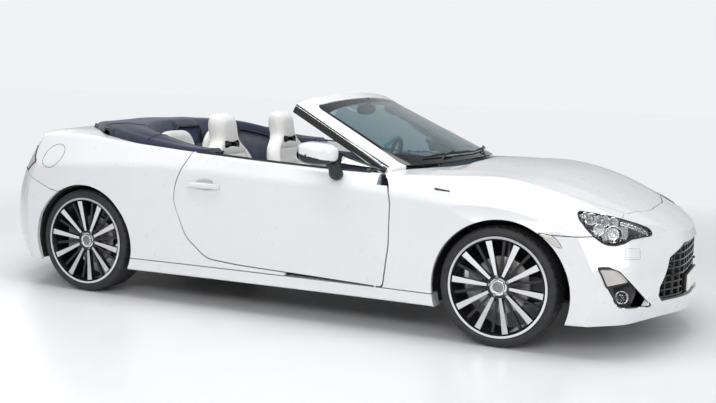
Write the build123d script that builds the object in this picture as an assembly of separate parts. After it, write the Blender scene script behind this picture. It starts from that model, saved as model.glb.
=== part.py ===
"""Open 2+2 roadster, millimetres. +X nose, +Y left, +Z up, Z = 0 ground, X = 0 mid length."""

import os
from math import acos, cos, hypot, radians, sin, tan

from build123d import *

os.makedirs("parts", exist_ok=True)

# ---- main sizes -------------------------------------------------------------
FRONT_AXLE_X, REAR_AXLE_X = 1270.0, -1300.0
TYRE_R, RIM_R = 308.8, 259.0
RIM_FACE_Y = 862.0                      # outer lip of each rim
HUB_Z = TYRE_R
GAP = 5.0                               # shut lines between panels
SKIN = 22.0                             # a body panel with its inner frame
SEAT = 0.3                              # running clearance where pieces meet
ARCH = {"front": (1282.0, 292.0, 362.0), "rear": (-1300.0, 300.0, 347.0)}
KINGPIN_FOOT = (1270.0, 700.0, 190.0)
HINGE_X, HINGE_Y = 600.0, 846.0         # upright hinge line of each door
DOOR_IN_Y = 776.0                       # inner face of each door
DRIVER_Y = 370.0
SILL_TOP_Z = 235.0
SEAM_Z = 600.0                          # between front wing and bumper
FLOOR_Z, FLOOR_TOP_Z = 176.0, 198.0
TUNNEL_Y, TUNNEL_Z = 80.0, 330.0
BOOT_FLOOR_Z = 366.0
BULKHEAD_X = 706.0                      # rear face of the front bulkhead
SEAT_WALL_X = -1176.0                   # front face of the rear bulkhead
DECK_Z = 866.7

# Body sections, half widths and heights at each station:
# x, sill y z, low y z, wide y z, shoulder y z, crown y z radius, inner y z, centre z
BODY = [
    (2160, 670, 158, 684, 250, 690, 330, 672, 380, 520, 420, 80, 350, 455, 470),
    (2060, 716, 158, 730, 250, 738, 400, 716, 450, 550, 540, 90, 370, 580, 597),
    (1960, 760, 158, 772, 255, 780, 420, 758, 500, 600, 608, 100, 410, 642, 655),
    (1850, 806, 158, 818, 260, 828, 430, 800, 545, 640, 665, 100, 440, 692, 702),
    (1740, 842, 160, 852, 260, 860, 440, 838, 580, 690, 712, 100, 470, 738, 748),
    (1620, 866, 160, 874, 260, 882, 450, 864, 620, 720, 762, 95, 500, 786, 796),
    (1450, 866, 162, 877, 260, 889, 450, 875, 655, 740, 815, 90, 530, 832, 844),
    (1270, 867, 165, 878, 262, 889, 450, 878, 685, 752, 848, 85, 550, 856, 868),
    (1000, 866, 170, 868, 265, 878, 480, 868, 710, 778, 842, 70, 590, 862, 882),
    (650, 864, 172, 852, 266, 866, 560, 860, 742, 800, 832, 45, 640, 850, 885),
    (0, 868, 172, 848, 266, 868, 600, 858, 762, 806, 846, 35, 640, 870, 880),
    (-650, 871, 170, 858, 266, 876, 600, 858, 790, 796, 882, 45, 620, 905, 915),
    (-1000, 873, 168, 872, 264, 887, 540, 868, 790, 772, 905, 60, 600, 925, 935),
    (-1300, 873, 166, 878, 262, 891, 480, 872, 770, 745, 925, 70, 580, 945, 955),
    (-1600, 866, 164, 874, 262, 885, 460, 858, 750, 720, 930, 75, 560, 955, 968),
    (-1850, 848, 160, 856, 262, 866, 450, 836, 720, 690, 905, 60, 540, 930, 940),
    (-2160, 820, 158, 830, 262, 840, 440, 812, 690, 660, 870, 60, 530, 890, 900),
]
SECTION_RADII = {"sill": 14, "low": 60, "wide": 420, "shoulder": 70, "inner": 500}
CROWN_R = 6000.0

# Plan outlines by height: z, how far the tail sits in from its rearmost line,
# then the nose: centre x, and three control points x y outwards past the flank
PLAN = [
    (90, 100, 2096, 2072, 195, 1868, 690, 1610, 950),
    (250, 20, 2122, 2106, 215, 1898, 703, 1640, 950),
    (450, 0, 2122, 2112, 250, 1905, 700, 1640, 946),
    (620, 22, 2074, 2054, 230, 1882, 645, 1640, 870),
    (800, 95, 2050, 2030, 230, 1878, 636, 1640, 866),
    (1000, 230, 2050, 2030, 230, 1878, 636, 1640, 866),
]
NOSE_INSET = (0.98, 0.3, 0.9, 0.5, 0.6, 0.8)
TAIL_X = -2122.0
# Tail corners: x, y, share of the inset taken in x and in y, rounding radius
TAIL_CORNERS = [
    (-2088, 380, 1.0, 0.1, 700),
    (-1938, 715, 0.8, 0.6, 320),
    (-1750, 868, 0.5, 0.5, 350),
    (-1480, 950, 0.4, 0.4, 1),
]


# ---- drawing helpers --------------------------------------------------------
def rounded(points, radii, place, soft=False):
    """Closed wire through rounded corners; place maps each 2-D point into space.

    Soft corners are parabolas, which loft into lighter surfaces than arcs do.
    """
    n, stops = len(points), []
    for i in range(n):
        (ax, ay), (bx, by), (cx, cy) = points[i - 1], points[i], points[(i + 1) % n]
        la, lc = hypot(ax - bx, ay - by), hypot(cx - bx, cy - by)
        ua, uc = ((ax - bx) / la, (ay - by) / la), ((cx - bx) / lc, (cy - by) / lc)
        half_angle = acos(max(-1.0, min(1.0, ua[0] * uc[0] + ua[1] * uc[1]))) / 2
        reach = min(radii[i] / tan(half_angle), 0.46 * la, 0.46 * lc)
        r = reach * tan(half_angle)
        mx, my = ua[0] + uc[0], ua[1] + uc[1]
        m = hypot(mx, my)
        d = r / sin(half_angle) - r
        mid = (bx + mx / m * d, by + my / m * d) if m > 1e-9 else (bx, by)
        start = (bx + ua[0] * reach, by + ua[1] * reach)
        stops.append((start, mid, (bx + uc[0] * reach, by + uc[1] * reach)))
    edges = []
    for i in range(n):
        a, mid, b = (place(*p) for p in stops[i])
        edges.append(Bezier(a, place(*points[i]), b) if soft else ThreePointArc(a, mid, b))
        edges.append(Line(b, place(*stops[(i + 1) % n][0])))
    return Wire(edges)


def prism(points, radii, place, run):
    """Outline placed in space and run along one direction."""
    if isinstance(radii, (int, float)):
        radii = [radii] * len(points)
    if max(radii) > 0:
        wire = rounded(points, [max(r, 0.5) for r in radii], place)
    else:
        wire = Wire(Polyline([place(*p) for p in points], close=True).edges())
    return Solid.extrude(Face(wire), run)


def prism_y(points, y0, y1, radii=0.0):
    """Side-view outline (x, z) run across the car."""
    return prism(points, radii, lambda u, v: Vector(u, y0, v), Vector(0, y1 - y0, 0))


def prism_z(points, z0, z1, radii=0.0):
    """Plan outline (x, y) run upwards."""
    return prism(points, radii, lambda u, v: Vector(u, v, z0), Vector(0, 0, z1 - z0))


def prism_x(points, x0, x1, radii=0.0):
    """Front-view outline (y, z) run along the car."""
    return prism(points, radii, lambda u, v: Vector(x0, u, v), Vector(x1 - x0, 0, 0))


def local_prism(origin, normal, points, near, far, radius=6.0):
    """Outline drawn on a tilted upright plane, run along its normal from near to far."""
    across = Vector(0, 0, 1).cross(Vector(*normal))
    plane = Plane(origin=origin, x_dir=across, z_dir=normal)

    def place(u, v):
        return plane.from_local_coords(Vector(u, v, near))

    return prism(points, radius, place, plane.z_dir * (far - near))


def box(x0, x1, y0, y1, z0, z1):
    middle = Pos((x0 + x1) / 2, (y0 + y1) / 2, (z0 + z1) / 2)
    return middle * Box(abs(x1 - x0), abs(y1 - y0), abs(z1 - z0))


def cyl_y(x, z, r, y0, y1):
    return Pos(x, (y0 + y1) / 2, z) * Rot(90, 0, 0) * Cylinder(r, abs(y1 - y0))


def cyl_z(x, y, r, z0, z1):
    return Pos(x, y, (z0 + z1) / 2) * Cylinder(r, abs(z1 - z0))


def rod(p, q, r):
    a, b = Vector(*p), Vector(*q)
    run = b - a
    return Plane(origin=a, z_dir=run) * Pos(0, 0, run.length / 2) * Cylinder(r, run.length)


def sym(points):
    """Closed outline mirrored over the centre line, from its points on one side."""
    return list(points) + [(x, -y) for x, y in reversed(points)]


def wide(points):
    """Closed front-view outline from its points on the left."""
    return list(points) + [(-y, z) for y, z in reversed(points)]


def mirrored(shape):
    return mirror(shape, Plane.XZ)


def both(shape):
    return shape + mirrored(shape)


def largest(shape):
    return max(shape.solids(), key=lambda s: s.volume)


def save(name, shape):
    export_step(shape, f"parts/{name}.step")


def save_pair(name, right):
    save(f"{name}_right", right)
    save(f"{name}_left", mirrored(right))


# ---- outer form, right half -------------------------------------------------
def section(row, inset):
    """Right half of one body section; inset moves it inwards and opens its underside."""
    x, ys, zs, yl, zl, yw, zw, yh, zh, yc, zc, rc, yi, zi, z0 = row
    r = SECTION_RADII
    if inset:
        ys, yl, yw, yh, yc, yi = (y - inset for y in (ys, yl, yw, yh, yc, yi))
        zs, zh, zc, zi, z0 = zs - 120, zh - 0.35 * inset, zc - inset, zi - inset, z0 - inset
    ring = [(40, zs), (-ys, zs), (-yl, zl), (-yw, zw), (-yh, zh), (-yc, zc), (-yi, zi)]
    ring += [(-160, z0), (40, z0)]
    radii = [1, r["sill"], r["low"], r["wide"], r["shoulder"], rc, r["inner"], CROWN_R, 1]
    return Face(rounded(ring, radii, lambda u, v: Vector(x, u, v), soft=True))


def plan(row, inset):
    """Right half of one plan outline; inset moves it inwards."""
    z, off, n0, *nose = row
    off, n0 = off + inset, n0 - inset
    nose = [v - inset * k for v, k in zip(nose, NOSE_INSET)]
    ring = [(TAIL_X + off, 40, 1), (TAIL_X + off, -110, 2500)]
    ring += [(x + off * k, -(y - off * j), r) for x, y, k, j, r in TAIL_CORNERS]
    ring += [(nose[i], -nose[i + 1], r) for i, r in ((4, 1), (2, 300), (0, 600))]
    ring += [(n0, -70, 1500), (n0, 40, 1)]
    place = lambda u, v: Vector(u, v, z)
    return Face(rounded([p[:2] for p in ring], [p[2] for p in ring], place, soft=True))


def form(inset=0.0):
    lengthways = loft([section(r, inset) for r in BODY])
    heightways = loft([plan(r, inset) for r in PLAN])
    return (lengthways & box(-2300, 2300, -1000, 0, 0, 1200)) & heightways


outer = form()
fit = form(SKIN + 0.4)
half = outer - form(SKIN)

# ---- panel outlines ---------------------------------------------------------
# Side view of a door, x z radius, from its top rear corner downwards and forwards
DOOR = [
    (-560, 960, 1), (-585, 850, 120), (-672, 640, 300), (-575, 400, 160), (-440, 287, 120),
    (-230, 270, 200), (640, 243, 18), (672, 480, 300), (672, 700, 220), (640, 800, 120),
    (560, 870, 60), (540, 960, 1),
]
DOOR_MID = (0.0, 560.0)
HEADLAMP_AT, HEADLAMP_DIR = (1800, -650, 640), (0.1781, -0.9744, 0.1375)
HEADLAMP = [
    (-191, 65), (-51, 52), (34, 38), (112, 18), (162, 0), (191, -31), (151, -41), (82, -60),
    (48, -84), (7, -97), (-43, -94), (-94, -64), (-140, -20), (-174, 22),
]
FOG_AT, FOG_DIR = (1870, -700, 350), (0.1656, -0.9678, 0.1897)
FOG = [
    (-129, 82), (-67, 87), (-28, 75), (22, 30), (132, -78), (114, -88), (-8, -102),
    (-32, -91), (-79, -17), (-107, 39),
]
FOG_POCKET = [(-58, -10), (20, 20), (118, -82), (-8, -90), (-30, -80)]
# Front view of the grille opening, y z, upper middle outwards and down
GRILLE = [(240, 530), (405, 470), (492, 330), (480, 280), (430, 246)]
# Seam behind the rear wheel, x z, from the arch to the tail lamp
REAR_SEAM = [(-1300, 558), (-1560, 608), (-1790, 698)]
# Plan outlines, x y: rear opening under the soft cover, boot lid's near corner
OPENING = [(700, 776), (-640, 782), (-1020, 757), (-1330, 640), (-1640, 360), (-1732, 110)]
OPENING_R = [1, 200, 500, 500, 300, 500, 500, 300, 500, 500, 200, 1]
TAIL_LAMP = [(-1688, 762), (-1760, 842), (-2300, 842), (-2300, 698), (-1790, 698)]
TAIL_LAMP_IN_Y = 590.0


def door_zone(grow, y0, y1):
    cx, cz = DOOR_MID
    outline = []
    for x, z, _ in DOOR:
        outline.append((x + (grow if x > cx else -grow), z + (grow if z > cz else -grow)))
    return prism_y(outline, y0, y1, [r for _, _, r in DOOR])


def cowl_zone(grow, reach):
    """Everything behind the bonnet's rear edge, out to y = reach."""
    edge = [(400, reach), (603 - grow, reach), (607 - grow, 714), (925 - grow, 425)]
    edge.append((936 - grow, 110))
    return prism_z(sym(edge), 500, 1100, [1, 1, 20, 260, 300, 300, 260, 20, 1, 1])


def bonnet_zone(grow, reach):
    edge = [(590 - grow, 712 + grow), (1560, 724 + grow)]
    edge += [(1830 + grow * 0.8, 516 + grow * 0.8), (1894 + grow, 210 + grow * 0.2)]
    return prism_z(sym(edge), 500, 1000, [20, 500, 60, 600, 600, 60, 500, 20]) - cowl_zone(grow, reach)


def lid_zone(grow):
    edge = [(-1746 + grow, 126), (-1739 + grow, 376), (-1794 + grow, 586 + grow)]
    edge.append((-2300, 586 + grow))
    return prism_z(sym(edge), 600, 1100, [300, 200, 60, 1, 1, 60, 200, 300])


def lamp_block(near, far, shrink=0.0):
    """Headlamp outline, run through the corner of the nose."""
    cx = sum(u for u, _ in HEADLAMP) / len(HEADLAMP)
    cy = sum(v for _, v in HEADLAMP) / len(HEADLAMP)
    outline = []
    for u, v in HEADLAMP:
        k = shrink / hypot(u - cx, v - cy)
        outline.append((u - (u - cx) * k, v - (v - cy) * k))
    return local_prism(HEADLAMP_AT, HEADLAMP_DIR, outline, near, far, 12)


front_arch = cyl_y(*ARCH["front"], -960, -400)
rear_arch = cyl_y(*ARCH["rear"], -960, -400)
lamp_hole = lamp_block(-190, 260)
fog_hole = local_prism(FOG_AT, FOG_DIR, FOG, -150, 200, 8)
seam = GAP / 2

# ---- bonnet and front wings -------------------------------------------------
bonnet = (half & box(560, 1950, -760, 0, 560, 1000)) & bonnet_zone(0, 800)
save("bonnet", both(largest(bonnet)))

wing_side = [(560, 1000), (560, SILL_TOP_Z + GAP), (1300, SILL_TOP_Z + GAP), (1300, SEAM_Z + seam)]
wing_side += [(1735, SEAM_Z + seam), (1850, 560), (1850, 1000)]
wing_tip = [(1812, -500), (1850, -900), (2300, -900), (2300, 0), (1600, 0), (1700, -500)]
wing = half & prism_y(wing_side, -1000, -400)
wing = wing - front_arch - bonnet_zone(GAP, 900) - lamp_hole - door_zone(7.0, -1000, -600)
wing = wing - prism_z(wing_tip, 100, 1100) - cowl_zone(0, 718)
save_pair("wing", largest(wing))

# ---- rear quarters and boot lid ---------------------------------------------
quarter_side = [(60, 1100), (60, SILL_TOP_Z + GAP), (-1300, SILL_TOP_Z + GAP)]
quarter_side += [(x, z + seam) for x, z in REAR_SEAM] + [(-2300, 698 + seam), (-2300, 1100)]
quarter = half & prism_y(quarter_side, -1000, 0)
quarter = quarter - rear_arch - prism_z(sym(OPENING), 700, 1100, OPENING_R) - lid_zone(GAP)
quarter = quarter - door_zone(6.0, -1000, -600) - prism_y(TAIL_LAMP, -1000, -(TAIL_LAMP_IN_Y - 4))
quarter = quarter - prism_y([(x, z + 2) for x, z in TAIL_LAMP], -(TAIL_LAMP_IN_Y - 3), 0)
save_pair("quarter", largest(quarter))

lid = (half & box(-2300, -1700, -640, 0, 700, 1100)) & lid_zone(0)
save("boot_lid", both(largest(lid)))

# ---- doors and sills --------------------------------------------------------
HANDLE_Z = 701.0
door = (outer & box(-740, 740, -1000, -DOOR_IN_Y, 200, 1000)) & door_zone(0.0, -1000, -600)
door = door - box(HINGE_X - 12, 740, -838, -700, 200, 1000)
door = door - cyl_z(HINGE_X, -HINGE_Y, 5 + SEAT, 200, 270)
door = door + box(-566, -350, -888, -874, HANDLE_Z - 11, HANDLE_Z + 11)
for x in (-550, -366):
    door = door + box(x - 10, x + 10, -880, -850, HANDLE_Z - 7, HANDLE_Z + 7)
door = largest(door)
save_pair("door", door)

sill = (outer & box(-1000, 960, -1000, -774, 0, SILL_TOP_Z)) - front_arch - rear_arch
save_pair("sill", sill + cyl_z(HINGE_X, -HINGE_Y, 5, SILL_TOP_Z - 10, 266))

# ---- bumpers ----------------------------------------------------------------
TAILPIPE_Y, TAILPIPE_Z, TAILPIPE_R = 520.0, 232.0, 42.0
upper = [(1200, 1100), (1200, SEAM_Z - seam), (1735, SEAM_Z - seam), (1850, 560 - seam), (1850, 1100)]
lamp_end = [(1816, -495), (1854, -1000), (1900, -1000), (1900, -495)]
front = half & box(1290, 2300, -1000, 0, 0, 760)
front = front - front_arch - bonnet_zone(GAP, 800) - lamp_hole - fog_hole
front = front - (prism_y(upper, -1000, -495) - prism_z(lamp_end, 500, 1200))
front = front - prism_x(wide(GRILLE), 1850, 2300, 22)
save("front_bumper", both(largest(front)))

rear_side = [(-1250, 900), (-1250, 556)] + [(x, z - seam) for x, z in REAR_SEAM]
rear_side += [(-2300, 698 - seam), (-2300, 900)]
rear = half & box(-2300, -1290, -1000, 0, 0, 700)
rear = rear - rear_arch - prism_y(rear_side, -1000, 10)
rear = rear - Pos(-2060, -TAILPIPE_Y, TAILPIPE_Z) * Rot(0, 90, 0) * Cylinder(TAILPIPE_R + 8, 240)
save("rear_bumper", both(largest(rear)))

# ---- lamps ------------------------------------------------------------------
LAMP_DEPTH = 150.0
save("headlamps", both(outer & lamp_block(-LAMP_DEPTH, 260, 3)))

fog_cx = sum(u for u, _ in FOG) / len(FOG)
fog_cy = sum(v for _, v in FOG) / len(FOG)
fog_back = [(fog_cx + (u - fog_cx) * 1.07, fog_cy + (v - fog_cy) * 1.08) for u, v in FOG]
fog = fit & local_prism(FOG_AT, FOG_DIR, fog_back, -60, 200, 8)
save("fog_lamps", both(fog - local_prism(FOG_AT, FOG_DIR, FOG_POCKET, -35, 300, 8)))

tail_side = [(-1692, 763), (-1763, 838), (-2200, 838), (-2200, 702), (-1793, 702)]
tail_lamp = half & prism_y(tail_side, -1000, -TAIL_LAMP_IN_Y)
save("tail_lamps", both(largest(tail_lamp)))

# ---- windscreen -------------------------------------------------------------
# Ribs of the screen, outer face: y, foot x z, head x z
SCREEN = [
    (720, 560, 846, -40, 1140),
    (690, 612, 862, -8, 1158),
    (600, 726, 872, 34, 1192),
    (380, 850, 882, 62, 1222),
    (0, 905, 892, 78, 1238),
]
POST, GLASS_T, GLASS_STEP = 42.0, 5.0, 3.0   # header depth, glass, glass below the frame's face
POST_FOOT_Z = 822.0
SCREEN_OPENING_R = [1, 60, 60, 40, 300, 600, 600, 600, 600, 300, 40, 60, 60, 1]


def screen_band(top, thick, below):
    """Curved band along the screen, its outer face top above the ribs, run on below its foot."""
    faces = []
    for y, xf, zf, xh, zh in SCREEN + [(-y, *r) for y, *r in reversed(SCREEN[:-1])]:
        n = hypot(xf - xh, zf - zh)
        ux, uz = (xf - xh) / n, (zf - zh) / n
        ends = [(xf + ux * below, zf + uz * below), (xh, zh)]
        upper = [(x - uz * top, z + ux * top) for x, z in ends]
        lower = [(x - uz * (top - thick), z + ux * (top - thick)) for x, z in reversed(ends)]
        rib = Polyline([(x, y, z) for x, z in upper + lower], close=True)
        faces.append(Face(Wire(rib.edges())))
    return loft(faces)


hole_side = [(1100, 600), (720, 640), (640, 652), (96, 592), (118, 500), (138, 250), (146, 80)]
glass_side = [(1000, 599.6), (720.3, 639.5), (640.3, 651.5), (96.5, 591.6), (118.5, 499.8)]
glass_side += [(138.5, 250), (146.5, 80)]
post_side = [(1200, 560), (760, 640), (640, 690), (604, 712), (0, 652), (-80, 560)]
frame = (screen_band(0.0, POST, 30.0) & prism_z(sym(post_side), POST_FOOT_Z, 1400))
frame = frame - prism_z(sym(hole_side), 700, 1400, SCREEN_OPENING_R)
frame = (frame & cowl_zone(GAP + 1, 716)) + (frame & box(-100, 560, -800, 800, 700, 1400))
glass = screen_band(-GLASS_STEP, GLASS_T, -12.0)
glass = glass & prism_z(sym(glass_side), 700, 1400, SCREEN_OPENING_R)
save("windscreen_frame", frame)
save("windscreen_glass", glass)

# ---- tub: floor, bulkheads, inner wings, arch liners ------------------------
BOOT_Y = 540.0
LINER = 3.0
WELL_R, WELL_Y = 381.0, 847.0          # front liner, deep enough for the steered tyre
BEAM_X = -1930.0
right_tub = [
    box(SEAT_WALL_X - 24, BULKHEAD_X + 28, -774 + SEAT, 0, FLOOR_Z, FLOOR_TOP_Z),
    box(-950, 915, -774 + SEAT, -700, FLOOR_TOP_Z, SILL_TOP_Z - 3),
    box(-950, BULKHEAD_X + 28, -768, -700, FLOOR_TOP_Z, 322),
    box(SEAT_WALL_X, BULKHEAD_X, -TUNNEL_Y, 0, FLOOR_TOP_Z, TUNNEL_Z),
    box(BULKHEAD_X, BULKHEAD_X + 28, -768, 0, FLOOR_TOP_Z, 790),
    box(560, BULKHEAD_X, -768, -740, 300, 790),
    box(560, 598, -768, -640, 300, POST_FOOT_Z - SEAT),
    box(BULKHEAD_X + 28, 1740, -420, -396, 300, 690),
    box(1740, 1900, -420, -396, 300, 600),
    box(1900, 1922, -420, 0, 186, 600),
    box(SEAT_WALL_X - 24, SEAT_WALL_X, -760, 0, FLOOR_Z, DECK_Z),
    box(-1930, SEAT_WALL_X, -BOOT_Y, 0, BOOT_FLOOR_Z, BOOT_FLOOR_Z + 22),
    box(-1900, SEAT_WALL_X, -BOOT_Y, -BOOT_Y + 24, BOOT_FLOOR_Z, 720),
    box(SEAT_WALL_X, -660, -764, -724, 300, 850),
    fit & box(-1860, -1836, -800, -BOOT_Y + 24, 690, 790),
    fit & box(BULKHEAD_X + 28, 760, -900, -420, 300, 600),
    fit & box(-800, -776, -900, -700, 260, 850),
    fit & box(1640, 2200, -900, 0, FLOOR_Z, 192),
    box(1430, 1640, -430, 0, FLOOR_Z, 192),
    fit & box(1760, 1784, -420, 0, 640, 760),
    fit & box(BEAM_X, BEAM_X + 24, -BOOT_Y, 0, BOOT_FLOOR_Z, 760),
    fit & box(-2200, BEAM_X, -640, 0, 440, 470),
    lamp_block(-LAMP_DEPTH - 20, -LAMP_DEPTH - SEAT, 30),
    box(1700, 1760, -506, -410, 560, 650) - lamp_block(-LAMP_DEPTH - SEAT, 260),
]
rear_x, rear_z, rear_r = ARCH["rear"]
liner = cyl_y(rear_x, rear_z, rear_r - 3, -850, 1 - BOOT_Y) - cyl_y(rear_x, rear_z, rear_r - 8, -900, -400)
right_tub.append(liner - box(rear_x - 500, rear_x + 500, -1000, 0, -200, FLOOR_Z))
well_x, well_z, well_r = ARCH["front"]
well = fit & cyl_y(well_x, well_z, WELL_R, -WELL_Y - LINER, -419)
well = well - cyl_y(well_x, well_z, WELL_R - LINER, -WELL_Y, -400)
well = well - cyl_y(well_x, well_z, well_r - 5, -900, -400)
well = well - box(well_x - 500, well_x + 500, -1000, 0, -200, FLOOR_Z)
right_tub.append(well - box(well_x - 500, well_x, -1000, -773, -200, SILL_TOP_Z + SEAT))
deck = [(SEAT_WALL_X, 724), (-1330, 600), (-1620, 340), (-1700, 110)]
deck_plate = prism_z(sym(deck), DECK_Z - 16, DECK_Z, [1, 300, 300, 300, 300, 300, 300, 1])
tub = right_tub[0]
for piece in right_tub[1:]:
    tub = tub + piece
tub = tub + (deck_plate & box(-2000, SEAT_WALL_X, -1000, 0, 0, 1000))
tub = tub - box(SEAT_WALL_X - 60, BULKHEAD_X + 60, -TUNNEL_Y + 14, 1, 0, TUNNEL_Z - 14)
tub = tub - cyl_y(rear_x, rear_z, rear_r - 8, -960, -BOOT_Y - 1)
tub = tub - cyl_y(well_x, well_z, well_r - 5, -960, -421) - cyl_y(well_x, well_z, WELL_R - LINER, -WELL_Y, -421)
save("floor_tub", both(tub))

# ---- scuttle panel under the screen -----------------------------------------
DASH_PLAN = [(300, 630), (600, 630), (700, 560), (800, 400), (850, 110)]
scuttle = prism_z(sym([(600, 636), (680, 636), (884, 414), (922, 110)]), 831, 846)
scuttle = scuttle - prism_z(sym([(x + SEAT, y + SEAT) for x, y in DASH_PLAN]), 800, 900)
save("scuttle_panel", largest(scuttle))

# ---- soft cover over the folded roof ----------------------------------------
# x, edge y z, flank y z, top y z, centre z
COVER = [
    (-480, 772, 876, 758, 900, 700, 912, 905),
    (-760, 768, 888, 752, 914, 690, 928, 925),
    (-1040, 742, 900, 716, 950, 640, 985, 1012),
    (-1300, 720, 905, 660, 980, 560, 1010, 1030),
    (-1560, 700, 905, 560, 975, 400, 1000, 1012),
    (-1760, 690, 900, 480, 940, 300, 955, 962),
]
COVER_EDGE = [(-500, 772), (-640, 778), (-1020, 753), (-1328, 634), (-1634, 356), (-1726, 110)]
COVER_EDGE_R = [30, 200, 500, 500, 300, 500, 500, 300, 500, 500, 200, 30]
COVER_MOUTH = [(-300, 590), (-940, 585), (-1110, 480), (-1140, 200)]


def cover_section(row):
    x, ye, ze, yf, zf, yt, zt, z0 = row
    right = [(ye, DECK_Z + SEAT, 3), (ye, ze, 12), (yf, zf, 40), (yt, zt, 200)]
    ring = [(-y, z, q) for y, z, q in right] + [(0, z0, 2500)] + list(reversed(right))
    place = lambda u, v: Vector(x, u, v)
    return Face(rounded([p[:2] for p in ring], [p[2] for p in ring], place))


cover = loft([cover_section(r) for r in COVER])
cover = cover & prism_z(sym(COVER_EDGE), 860, 1100, COVER_EDGE_R)
cover = cover - prism_z(sym(COVER_MOUTH), 860, 1100, [1, 150, 150, 300, 300, 150, 150, 1])
save("soft_top_cover", cover)

# ---- mirrors ----------------------------------------------------------------
head_side = [(205, 905), (212, 975), (250, 992), (330, 990), (392, 950), (400, 915), (380, 880), (230, 872)]
head_plan = [(200, -1040), (330, -1040), (405, -990), (405, -860), (200, -860)]
foot_front = [(-905, 884), (-868, 884), (-800, 848), (-800, 815), (-838, 788), (-874, 826)]
mirror_head = prism_y(head_side, -1035, -868, [24, 20, 40, 60, 40, 24, 30, 20])
mirror_head = mirror_head & prism_z(head_plan, 860, 1000, [14, 60, 60, 20, 14])
save_pair("mirror", mirror_head + (prism_x(foot_front, 330, 388, [6, 6, 2, 2, 2, 12]) - door))

# ---- grille -----------------------------------------------------------------
def nose_band(inset, thick):
    """Upright band that follows the nose in plan."""
    def ring(d):
        return sym([(1700, 690), (1905 - d * 0.9, 690 - d * 0.3), (2116 - d, 250), (2122 - d, 60)])
    radii = [1, 300, 600, 900, 900, 600, 300, 1]
    return prism_z(ring(inset), 200, 600, radii) - prism_z(ring(inset + thick), 190, 610, radii)


def grille_outline(ky, kz, lift, x0, x1):
    return prism_x([(y * ky, 228 + (z - 228) * kz + lift) for y, z in wide(GRILLE)], x0, x1, 20)


MESH_PITCH_Y, MESH_PITCH_Z, MESH_T = 64.0, 36.0, 8.0
mesh = [box(1900, 2200, -520, 520, z - MESH_T / 2, z + MESH_T / 2) for z in range(262, 540, 36)]
mesh += [box(1900, 2200, y - MESH_T / 2, y + MESH_T / 2, 225, 560) for y in range(-448, 449, 64)]
lattice = mesh[0]
for bar in mesh[1:]:
    lattice = lattice + bar
opening = grille_outline(0.985, 0.985, 3, 1850, 2300)
surround = nose_band(26, 17) & (opening - grille_outline(0.95, 0.93, 12, 1840, 2310))
stays = both(box(1922 + SEAT, 2078, 320 - 6, 320 + 6, 370 - 6, 370 + 6))
save("grille", (nose_band(34, 9) & opening & lattice) + surround + stays)

# ---- wheels: drawn about their own axle, z outwards from the rim face --------
SPOKES = 10
TYRE = [
    (247, -16), (259.5, -13.2), (259.5, -5), (270, 2), (284, 3), (300, -4), (TYRE_R, -24),
    (TYRE_R, -191), (300, -211), (284, -218), (270, -217), (259.5, -210), (259.5, -203.8), (247, -199),
]
BARREL = [
    (247, 0), (RIM_R, -1), (RIM_R, -12), (246.5, -15), (246.5, -200), (RIM_R, -205),
    (RIM_R, -212), (240, -212), (236, -180), (236, -24),
]
HUB = [(0, -20), (34, -20), (36, -26), (64, -30), (74, -38), (74, -54), (0, -54)]
FACE_SPOKE = [(50, -24), (150, -14), (239, -3), (239, -30), (150, -44), (50, -54)]
BACK_SPOKE = [(50, -36), (150, -36), (239, -30), (239, -46), (150, -52), (50, -54)]
WHEEL_BACK = 54.0
BORE_R = 36.0
DISC_R = {"front": 148.0, "rear": 145.0}
FIRST_SPOKE = {"front": -5.0, "rear": 27.0}


def about_axle(shape, x, side):
    """Stand a wheel piece on its axle; side is +1 for the left, -1 for the right."""
    return Pos(x, side * RIM_FACE_Y, HUB_Z) * Rot(-90 * side, 0, 0) * shape


def turned(profile):
    """Solid of revolution from (radius, depth) points."""
    wire = Polyline([(r, 0, z) for r, z in profile], close=True)
    return revolve(Face(Wire(wire.edges())), Axis.Z)


def spokes(profile, hub_half, rim_half, first):
    """Tapered spokes: plan outline run deep, then cut to the radial profile."""
    blade = [(58, -hub_half), (238, -rim_half), (238, rim_half), (58, hub_half)]
    one = turned(profile) & prism_z(blade, -90, 0)
    return [Rot(0, 0, first + i * 360 / SPOKES) * one for i in range(SPOKES)]


def rim(first):
    whole = turned(BARREL) + turned(HUB)
    whole = whole + spokes(FACE_SPOKE, 7.0, 16.0, first) + spokes(BACK_SPOKE, 5.5, 8.0, first + 18)
    return whole - [Rot(0, 0, first + 36 + i * 72) * Pos(50, 0, -30) * Cylinder(11, 22) for i in range(5)]


def brake_disc(r):
    front = WHEEL_BACK + 0.4
    return turned([
        (BORE_R, -front), (78, -front), (82, -60), (82, -92), (r, -92), (r, -116),
        (74, -116), (74, -64), (BORE_R, -64),
    ])


for end, wx in (("front", FRONT_AXLE_X), ("rear", REAR_AXLE_X)):
    for tag, side in (("left", 1), ("right", -1)):
        save(f"tyre_{end}_{tag}", about_axle(turned(TYRE), wx, side))
        save(f"rim_{end}_{tag}", about_axle(rim(FIRST_SPOKE[end]), wx, side))
        save(f"brake_disc_{end}_{tag}", about_axle(brake_disc(DISC_R[end]), wx, side))

# ---- uprights with their calipers (left side, then mirrored) -----------------
DISC_OUT_Y, DISC_IN_Y = RIM_FACE_Y - 92, RIM_FACE_Y - 116
UPRIGHT_FOOT_Z = 184.0


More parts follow.
